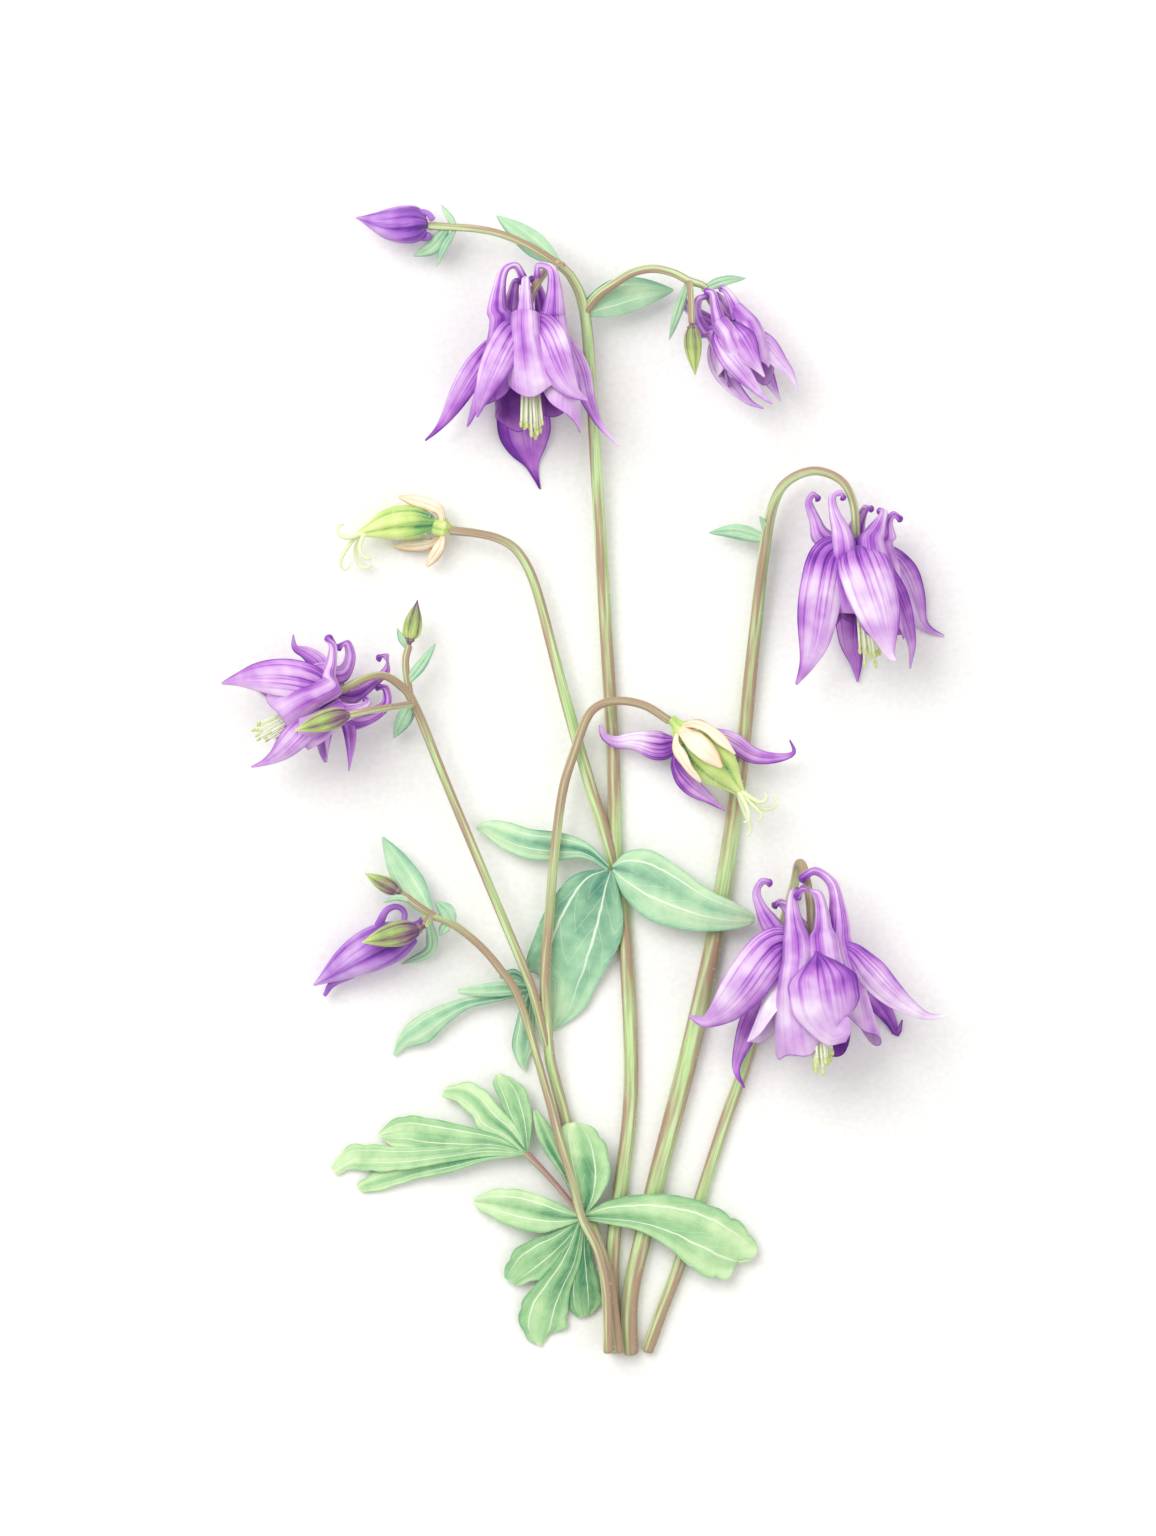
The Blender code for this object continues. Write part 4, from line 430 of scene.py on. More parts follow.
def stalk_tree():
    """Round stalks along lines, by each point's radius. The skin reads where it is around and
    along a stalk and how thin the stalk is, from 0 at 1.1 mm to 1 at 0.85 mm."""
    tree, given, result = tree_named("stalks", ("Sides", "Int", 14), ("Tone", "Float", 0.4),
                                     ("Finish", "Material", None))
    ring = add(tree, "GeometryNodeCurvePrimitiveCircle", {"Resolution": given.outputs["Sides"],
            "Radius": 1.0})
    spot = add(tree, "GeometryNodeInputPosition")
    marked = add(tree, "GeometryNodeStoreNamedAttribute", {"Geometry": ring.outputs["Curve"],
            "Name": "around", "Value": spot}, data_type="FLOAT_VECTOR", domain="POINT")
    radius = add(tree, "GeometryNodeInputRadius")
    way = add(tree, "GeometryNodeSplineParameter")
    measured = add(tree, "GeometryNodeStoreNamedAttribute", {"Geometry": given.outputs["Geometry"],
            "Name": "along", "Value": way.outputs["Length"]}, **ON_POINTS)
    slim = add(tree, "ShaderNodeMapRange", {"Value": radius, "From Min": 0.0011, "From Max": 0.00085,
            "To Min": 0.0, "To Max": 1.0})
    graded = add(tree, "GeometryNodeStoreNamedAttribute", {"Geometry": measured, "Name": "thin",
            "Value": slim}, **ON_POINTS)
    skin = add(tree, "GeometryNodeCurveToMesh", {"Curve": graded, "Profile Curve": marked, "Scale": radius,
            "Fill Caps": True})
    toned = add(tree, "GeometryNodeStoreNamedAttribute", {"Geometry": skin, "Name": "tone",
            "Value": given.outputs["Tone"]}, **ON_POINTS)
    return completed(tree, given, result, toned, True)


def stamen_tree():
    """A thread with its anther on each point, turned and sized by the point's own values."""
    tree, given, result = tree_named("stamens", ("Thread", "Float", 0.0002), ("Length", "Float", 0.01),
                                     ("Anther", "Float", 0.00024), ("Finish", "Material", None))
    top = add(tree, "ShaderNodeCombineXYZ", {"Z": given.outputs["Length"]})
    thin = add(tree, "ShaderNodeMath", {0: given.outputs["Thread"], 1: 0.6}, operation="MULTIPLY")
    rod = add(tree, "GeometryNodeMeshCone", {"Vertices": 6, "Side Segments": 4, "Radius Top": thin,
            "Radius Bottom": given.outputs["Thread"], "Depth": given.outputs["Length"]})
    pale = add(tree, "GeometryNodeStoreNamedAttribute", {"Geometry": rod, "Name": "tone", "Value": 0.15},
            **ON_POINTS)
    ball = add(tree, "GeometryNodeMeshUVSphere", {"Segments": 8, "Rings": 6,
            "Radius": given.outputs["Anther"]})
    long = add(tree, "GeometryNodeTransform", {"Geometry": ball, "Translation": top,
            "Scale": (0.8, 0.8, 1.7)})
    gold = add(tree, "GeometryNodeStoreNamedAttribute", {"Geometry": long, "Name": "tone", "Value": 0.8},
            **ON_POINTS)
    both = add(tree, "GeometryNodeJoinGeometry")
    feed(tree, both.inputs[0], pale)
    feed(tree, both.inputs[0], gold)
    way = add(tree, "GeometryNodeInputNamedAttribute", {"Name": "way"}, data_type="FLOAT_VECTOR")
    size = add(tree, "GeometryNodeInputNamedAttribute", {"Name": "size"}, data_type="FLOAT")
    turned = add(tree, "FunctionNodeAlignRotationToVector", {"Vector": way.outputs["Attribute"]}, axis="Z")
    placed = add(tree, "GeometryNodeInstanceOnPoints", {"Points": given.outputs["Geometry"],
            "Instance": both, "Rotation": turned, "Scale": size.outputs["Attribute"]})
    return completed(tree, given, result, placed, True)


def down_tree():
    """Short hairs over a skin, each on its own spot and turned out from it. None grow on the
    underside, where the spray lies on the table."""
    tree, given, result = tree_named("down", ("Density", "Float", 400000.0), ("Length", "Float", 0.0005),
                                     ("Seed", "Int", 3), ("Finish", "Material", None))
    facing = add(tree, "GeometryNodeInputNormal")
    parts = add(tree, "ShaderNodeSeparateXYZ", {0: facing})
    upper = add(tree, "FunctionNodeCompare", {0: parts.outputs["Z"], 1: -0.2}, operation="GREATER_THAN")
    spots = add(tree, "GeometryNodeDistributePointsOnFaces", {"Mesh": given.outputs["Geometry"],
            "Selection": upper, "Density": given.outputs["Density"], "Seed": given.outputs["Seed"]})
    hair = add(tree, "GeometryNodeMeshCone", {"Vertices": 3, "Radius Top": 0.00001,
            "Radius Bottom": 0.00005, "Depth": given.outputs["Length"]})
    placed = add(tree, "GeometryNodeInstanceOnPoints", {"Points": spots.outputs["Points"], "Instance": hair,
            "Rotation": spots.outputs["Rotation"]})
    return completed(tree, given, result, placed, False)


STALKS = stalk_tree()
STAMENS = stamen_tree()
HAIRS = down_tree()


def grown(source, tree, name, **values):
    """A plain mesh object of what a tree makes of a mesh or a curve, which is used up."""
    grow = source.modifiers.new("grow", "NODES")
    grow.node_group = tree
    for item in tree.interface.items_tree:
        if item.in_out == "INPUT" and item.name in values:
            grow[item.identifier] = values[item.name]
    bpy.context.view_layer.update()
    graph = bpy.context.evaluated_depsgraph_get()
    mesh = bpy.data.meshes.new_from_object(source.evaluated_get(graph))
    mesh.name = name
    bpy.data.objects.remove(source)
    return in_scene(name, mesh)


def merged(name, *objects):
    """One object from several, which are used up. Each keeps its own materials."""
    shape = bmesh.new()
    materials = []
    for each in objects:
        offset = len(materials)
        materials += list(each.data.materials)
        for face in each.data.polygons:
            face.material_index += offset
        shape.from_mesh(each.data)
    mesh = bpy.data.meshes.new(name)
    shape.to_mesh(mesh)
    shape.free()
    for material in materials:
        mesh.materials.append(material)
    for each in objects:
        bpy.data.objects.remove(each)
    return in_scene(name, mesh)


# Rings that round off a stalk's end and a spur's tip: how far out they stand, in radii, and how
# wide they are
STALK_END = ((0.28, 0.8), (0.4, 0.4))
SPUR_END = ((0.75, 0.35), (0.5, 0.72), (0.28, 0.92))


def stalks(name, lines, finish, tone=0.4, step=0.8, sides=14):
    """Tapered round stalks through (x, y, z, radius) points, their tips rounded off."""
    curve = bpy.data.curves.new(name, "CURVE")
    curve.dimensions = "3D"
    for line in lines:
        points = smooth(line, step)
        ends = []
        for end, inner in ((points[0], points[1]), (points[-1], points[-2])):
            out = (end[:3] - inner[:3]) / max(np.linalg.norm(end[:3] - inner[:3]), 1e-9)
            ends.append([(*(end[:3] + out * end[3] * beyond), end[3] * wide) for beyond, wide in STALK_END])
        points = ends[0][::-1] + points.tolist() + ends[1]
        spline = curve.splines.new("POLY")
        spline.points.add(len(points) - 1)
        for point, (x, y, z, radius) in zip(spline.points, points):
            point.co = (x * MM, y * MM, z * MM, 1)
            point.radius = radius * MM
    return grown(in_scene(name, curve), STALKS, name, Sides=sides, Tone=tone, Finish=finish)


# Half widths along a blade, as shares of its widest
SEPAL = [(0, 0.16), (0.14, 0.24), (0.30, 0.68), (0.46, 1.0), (0.62, 0.84), (0.78, 0.48),
         (0.90, 0.22), (1, 0.06)]
BROAD = [(0, 0.14), (0.08, 0.34), (0.2, 0.80), (0.36, 1.0), (0.56, 0.97), (0.74, 0.72),
         (0.88, 0.34), (1, 0.05)]
CLAWED = [(0, 0.08), (0.3, 0.10), (0.40, 0.62), (0.52, 1.0), (0.68, 1.0), (0.82, 0.74),
          (0.92, 0.36), (1, 0.06)]
DROP = [(0, 0.2), (0.2, 0.48), (0.42, 0.82), (0.6, 1.0), (0.7, 0.96), (0.79, 0.66), (0.86, 0.28),
        (0.93, 0.12), (1, 0.03)]
FADED = [(0, 0.2), (0.1, 0.8), (0.25, 1.0), (0.45, 0.7), (0.7, 0.4), (1, 0.12)]
FLAP = [(0, 0.3), (0.2, 0.6), (0.5, 1.0), (0.8, 0.8), (1, 0.2)]
BRACT = [(0, 0.35), (0.18, 0.75), (0.40, 1.0), (0.65, 0.82), (0.85, 0.45), (1, 0.06)]

# Radii along a bud, a pod and the ring or neck at its foot, as shares of the widest
FAT_BUD = [(0, 0.55), (0.1, 0.9), (0.3, 1.0), (0.55, 0.82), (0.8, 0.38), (0.93, 0.14), (1, 0.05)]
BUD = [(0, 0.45), (0.15, 0.86), (0.35, 1.0), (0.6, 0.8), (0.8, 0.45), (0.93, 0.18), (1, 0.05)]
RING = [(0, 0.45), (0.3, 0.6), (0.48, 1.0), (0.82, 1.0), (1, 0.8)]
POD_FORM = [(0, 0.45), (0.2, 0.92), (0.42, 1.0), (0.65, 0.82), (0.85, 0.42), (1, 0.16)]

# Blades
BASE_DARK = 0.12            # share of a blade's length that its dark base takes
CREASE = 0.25               # mm that a blade's midline is pressed in
PETAL_THICK = 0.34          # mm at a blade's midline
LEAF_THICK = 0.36


def strip(piece, points, half_width, outline, bend, face, tones, rows=40, columns=20, ripple=0.25,
          rim=0.32, dark_to=BASE_DARK):
    """A blade along points whose face looks along face. Bend curls its edges back, in degrees.
    Tones are those of its base, middle and tip, and what its edges add. The base is dark up to
    the share dark_to, and rim darkens the border. Ripple is in millimetres."""
    spine = Spine(points)
    face = Vector(face).normalized()
    grid = np.zeros((rows + 1, columns + 1, 3))
    phase = points[0][0] * 0.7 + points[-1][1]
    curl = math.radians(bend)
    for r in range(rows + 1):
        share = r / rows
        tangent = spine.tangent(share)
        side = tangent.cross(face).normalized()
        normal = side.cross(tangent)
        half = half_width * between(outline, share)
        centre = spine.point(share)
        fade = min(1.0, 4 * share) * min(1.0, 5 * (1 - share))
        for c in range(columns + 1):
            u = 2 * c / columns - 1
            # Waves run along both edges, and the midline is pressed in
            lift = ripple * fade * abs(u) ** 3 * math.sin(13 * share + 2.2 * math.copysign(1, u) + phase)
            lift -= CREASE * fade * math.exp(-(u / 0.16) ** 2)
            grid[r, c] = centre + side * half * math.sin(curl * u) / curl \
                - normal * (half * (1 - math.cos(curl * u)) / curl - lift)
    v = np.linspace(0, 1, rows + 1)[:, None]
    across = np.linspace(-1, 1, columns + 1)[None, :]
    u = np.abs(across)
    # Along the blade, towards its edges, painted shade on one side and in the crease of its midline, and a
    # darker border
    base, middle, tip, edge = tones
    places = [0, dark_to, dark_to + 0.28, 0.85, 1]
    tone = np.interp(v, places, [base, base, middle, 0.6 * middle + 0.4 * tip, tip])
    tone = tone + edge * step_up(0.35, 0.95, u) * (1 - 0.6 * v)
    # Painted shade: one side of each blade, picked from its phase, is darker
    shaded = across * math.copysign(1, math.sin(phase * 3))
    tone = tone + 0.34 * step_up(0.3, 1.0, shaded) * np.minimum(1, 3 * v)
    # Painted shade darkens the pressed-in midline towards the base; then the border is darkened
    tone = tone + 0.16 * np.exp(-(u / 0.09) ** 2) * (1 - v) + rim * step_up(0.9, 1.0, u)
    piece.sheet(grid, tone, PETAL_THICK, 0.18)


class Bloom:
    """A nodding flower: its receptacle, the way its mouth looks, and its size."""

    def __init__(self, centre, mouth, size):
        self.centre = Vector(centre)
        self.axis = Vector(mouth).normalized()
        self.front = (UP - self.axis * UP.dot(self.axis)).normalized()
        self.right = self.front.cross(self.axis)
        self.size = size

    def outward(self, azimuth):
        angle = math.radians(azimuth)
        return self.front * math.cos(angle) + self.right * math.sin(angle)

    def place(self, azimuth, radial, along):
        return self.centre + self.axis * along + self.outward(azimuth) * radial


# A petal on a bloom of size 1, in millimetres: how far out from the receptacle and how far
# ahead of it the mouth and the throat are, half the mouth's width and depth, and the throat's radius
MOUTH_OUT, MOUTH_AHEAD = 5.2, 3.0
THROAT_OUT, THROAT_AHEAD = 4.8, -0.8
CUP_WIDE, CUP_DEEP = 2.9, 2.7
THROAT = 2.6
FLARED = 2.0                # how much wider the lip is than the mouth, to each side
OPENED = 0.8                # how much deeper the lip is than the mouth, as a share
SHIFTED = 0.6               # share of that which also moves the whole lip outward
SPUR_SWELL = (1.2, 1.12, 1.05, 1.0, 1.0)      # fullness at each of a spur's points
LIP_IN, CUP_IN, THROAT_IN = 0.14, 0.32, 0.5   # mm that each inner surface stands in
LIP_TURN = 1.015            # how far the lip's edge turns over, as a share of the cup
PETAL_SIDES = 40
CUP_ROWS = 8


def petal(piece, bloom, azimuth, lip, spur, tone):
    """A petal: a cup open towards its lip, drawn out behind into a spur with a hooked tip. Its
    rings run from that tip over the outside to the lip and back down the inside."""
    size = bloom.size
    out = bloom.outward(azimuth)
    aside = bloom.axis.cross(out).normalized()
    mouth = bloom.place(azimuth, MOUTH_OUT * size, MOUTH_AHEAD * size)
    throat = bloom.place(azimuth, THROAT_OUT * size, THROAT_AHEAD * size)
    wide, deep = CUP_WIDE * size, CUP_DEEP * size
    line = [mouth, throat, *[Vector(p[:3]) for p in spur]]
    radii = [None, THROAT * size, *[p[3] * swell for p, swell in zip(spur, SPUR_SWELL)]]
    turns = [2 * math.pi * s / PETAL_SIDES for s in range(PETAL_SIDES)]
    phase = azimuth * 0.1
    beyond = Vector(lip) - (mouth + out * deep * (1 + OPENED + SHIFTED * OPENED))
    outward = out * beyond.dot(out)

    def rim(share, inset=0.0):
        """The cup's ring at a share of the way from its mouth to its lip, drawn out on the lip's
        side, with a slightly waved edge."""
        opened = OPENED * share
        points = []
        for phi in turns:
            lobe = 1 + 0.05 * math.cos(3 * phi + phase) * share ** 2
            reach = share * max(0.0, 0.5 + 0.5 * math.cos(phi)) ** 0.45 * lobe
            flare = 0.25 * size * share ** 3 * math.sin(4 * phi + phase)
            depth = (deep * (1 + opened) - inset) * math.cos(phi) + deep * SHIFTED * opened
            points.append(mouth + out * (depth + flare)
                          + aside * (wide + FLARED * size * share - inset) * math.sin(phi)
                          + (beyond - outward) * reach + outward * reach ** 1.6)
        return points

    def ring(index, up, inset=0.0):
        """The spur's ring at a point of its line, with its own up kept near the last ring's."""
        ahead = line[min(index + 1, len(line) - 1)]
        tangent = (line[index - 1] - ahead).normalized()
        across = (aside - tangent * aside.dot(tangent)).normalized()
        turned = across.cross(tangent)
        up = turned if turned.dot(up) > 0 else -turned
        return up, [line[index] + (up * math.cos(phi) + across * math.sin(phi)) * (radii[index] - inset)
                    for phi in turns]

    funnel, up = [rim(0.0)], out
    for index in range(1, len(line)):
        up, points = ring(index, up)
        funnel.append(points)
    outer = smooth(funnel, pieces=7)[::-1]
    tip = line[-1]
    last = (tip - line[-2]).normalized() * radii[-1]
    cap = np.array([[tip + last * far + (Vector(p) - tip) * part for p in outer[0]]
                    for far, part in SPUR_END])
    cup = np.array([rim(k / CUP_ROWS) for k in range(1, CUP_ROWS + 1)])
    edge = np.array([rim(LIP_TURN, LIP_IN)])
    inside = np.array([rim(k / CUP_ROWS, CUP_IN) for k in range(CUP_ROWS, -1, -1)])
    hollow = np.array([ring(1, out, THROAT_IN)[1]])

    # Dark at the spur's tip, with soft stripes, painted light and shade round the spur, and painted shade
    # deep in the cup
    phi = np.array(turns)[None, :]
    share = np.linspace(0, 1, len(outer))[:, None]
    body = np.interp(share, [0, 0.12, 0.3, 0.7, 1], [0.85, 0.5, 0.42, 0.62, tone + 0.1])
    # Painted light round the spur: the second wave makes one side paler and the other darker
    body = body + 0.14 * np.cos(phi * 5 + phase) + 0.10 * np.cos(phi - 2.6)
    rise = np.linspace(0, 1, CUP_ROWS)[:, None]
    lobe = np.interp(rise, [0, 0.7, 1], [tone + 0.08, tone - 0.08, tone - 0.02])
    lobe = lobe + 0.16 * np.cos(phi * 6 + phase) * (1 - rise)
    # Painted shade inside: darker deeper into the cup, and darkest in the throat's hollow
    sink = np.linspace(0, 1, CUP_ROWS + 1)[:, None]
    shade_deep_in = np.interp(sink, [0, 0.35, 1], [tone + 0.05, tone + 0.25, 0.95])
    tones = np.concatenate([np.full((len(cap), PETAL_SIDES), 0.85), body, lobe,
                            np.full((1, PETAL_SIDES), tone + 0.42), shade_deep_in + 0 * phi,
                            np.full((1, PETAL_SIDES), 1.0)])
    piece.form(np.concatenate([cap, outer, cup, edge, inside, hollow]), tones, 3.0)


KNOB_WIDE, KNOB_LONG = 2.7, 1.7     # half width and half length on a bloom of size 1


def receptacle(piece, bloom, rows=12, sides=24):
    """The swollen end of the stalk that the petals and sepals grow from."""
    rings = []
    for k in range(1, rows):
        angle = math.pi * k / rows
        rings.append([bloom.place(360 * s / sides, KNOB_WIDE * bloom.size * math.sin(angle),
                                  -KNOB_LONG * bloom.size * math.cos(angle)) for s in range(sides)])
    piece.form(rings, np.full((rows - 1, sides), 0.7), 1.0)


FOLDS = 5                   # parts of a bud or pod, as a columbine's flower has
TWIST = 0.5                 # radians that a bud or pod turns from base to tip


def spindle(piece, base, tip, radius, profile, depth, tones, bow=(0, 0, 0), sides=60, rings=56, seam=0.4):
    """A closed bud or pod of five folds, from base to tip, whose seams are sunk by about depth,
    as a share, and darker by seam. Tones are those of its base, middle and tip."""
    base, tip = Vector(base), Vector(tip)
    spine = Spine([base, (base + tip) / 2 + Vector(bow), tip])
    form, shades = [], []
    for r in range(rings + 1):
        share = r / rings
        tangent = spine.tangent(share)
        across = tangent.cross(UP).normalized()
        up = across.cross(tangent)
        size = radius * between(profile, share)
        row, shade = [], []
        for s in range(sides):
            angle = 2 * math.pi * s / sides + TWIST * share
            # 1 on the middle of a fold and 0 in a seam
            crest = abs(math.cos(FOLDS * angle / 2)) ** 0.75
            reach = size * (1 + depth * (2 * crest - 1.3))
            row.append(spine.point(share) + (across * math.cos(angle) + up * math.sin(angle)) * reach)
            shade.append(float(np.interp(share, [0, 0.5, 1], tones)) + seam * (1 - crest) ** 2)
        form.append(row)
        shades.append(shade)
    piece.form(form, shades, 2.0)


TOOTH_STEP = 5.0            # mm along a leaflet's edge from tooth to tooth
PUFFED = 0.30               # mm at most that the blade rises between its veins
LEAF_SWAY = 0.35            # mm that the whole blade waves up and down
LEAF_ROWS, LEAF_COLUMNS = 46, 30


def leaflet(piece, rows, heights, lift, tone, toothed):
    """A leaflet from rows of left edge, midrib and right edge, with rounded teeth outward, veins
    pressed in and the blade puffed up between them. Its edges are lifted by lift, less at both
    ends."""
    last = len(rows) - 1
    flat = []
    for k, (row, height) in enumerate(zip(rows, heights)):
        edge = height + lift * min(1.0, 2.5 * k / last, 2.5 * (last - k) / last + 0.2)
        flat.append([*row[0], *row[1], *row[2], edge, height])
    line = smooth(flat, pieces=max(4, round(LEAF_ROWS / last)))
    count = len(line)
    edges, middle = (line[:, 0:2], line[:, 4:6]), line[:, 2:4]
    runs = [np.concatenate([[0], np.cumsum(np.linalg.norm(np.diff(e, axis=0), axis=1))]) for e in edges]
    grid = np.zeros((count, LEAF_COLUMNS + 1, 3))
    u = np.linspace(-1, 1, LEAF_COLUMNS + 1)
    phase = rows[0][1][0] + rows[-1][1][1]
    for k in range(count):
        share = k / (count - 1)
        for c, across in enumerate(u):
            side = 0 if across < 0 else 1
            edge = edges[side][k]
            teeth = abs(math.sin(math.pi * runs[side][k] / TOOTH_STEP + phase + side)) ** 0.6 - 0.62
            grow = 1 + toothed * teeth * step_up(0.35, 0.7, share) * across ** 2
            if share > 0.97:
                grow = 1.0
            spot = middle[k] + (edge - middle[k]) * abs(across) * grow
            height = line[k, 7] + (line[k, 6] - line[k, 7]) * abs(across)
            wide = float(np.linalg.norm(edge - middle[k]))
            puff = min(PUFFED, 0.05 * wide) * (abs(math.sin(math.pi * across * 1.5)) ** 0.7 - 0.5)
            sway = LEAF_SWAY * noise.noise(Vector((spot[0] * 0.16, spot[1] * 0.16, phase)))
            grid[k, c] = (spot[0], spot[1], height + puff + sway * min(1.0, wide / 3))
    # Painted shade darkens the base and the blade along the midrib, and the border is darker
    v = np.linspace(0, 1, count)[:, None]
    tones = tone + 0.3 * (0.4 - v) + 0.10 * np.sin(u * 5 + phase)[None, :]
    tones = tones + 0.40 * np.exp(-(u / 0.3) ** 2)[None, :] * (1 - v) ** 1.2
    tones = tones + 0.30 * step_up(0.88, 1.0, np.abs(u))[None, :]
    piece.sheet(grid, tones, LEAF_THICK, 0.1)


# Places, sizes and tones of the pieces. A tone is 0 for the palest of a skin's colours and 1 for
# the darkest, and a mark may take it past either end

CURLED = 34                 # degrees that a front sepal's edges bend back
CUPPED = -14                # and those of a sepal behind the bloom, which bend forward

# Each bloom: receptacle, way of its mouth, size
BLOOMS = {
    "top": Bloom((-11.5, 91, 12), (0.03, -0.97, 0.2), 1.08),
    "right": Bloom((54, 46.6, 12), (0.12, -0.99, 0.05), 1),
    "low": Bloom((45, -33, 12.5), (0.08, -0.97, 0.2), 1.1),
    "left": Bloom((-51, 17, 12), (-0.87, -0.47, 0.1), 0.95),
    "small": Bloom((28, 91.4, 11), (0.62, -0.77, 0.12), 0.7),
}

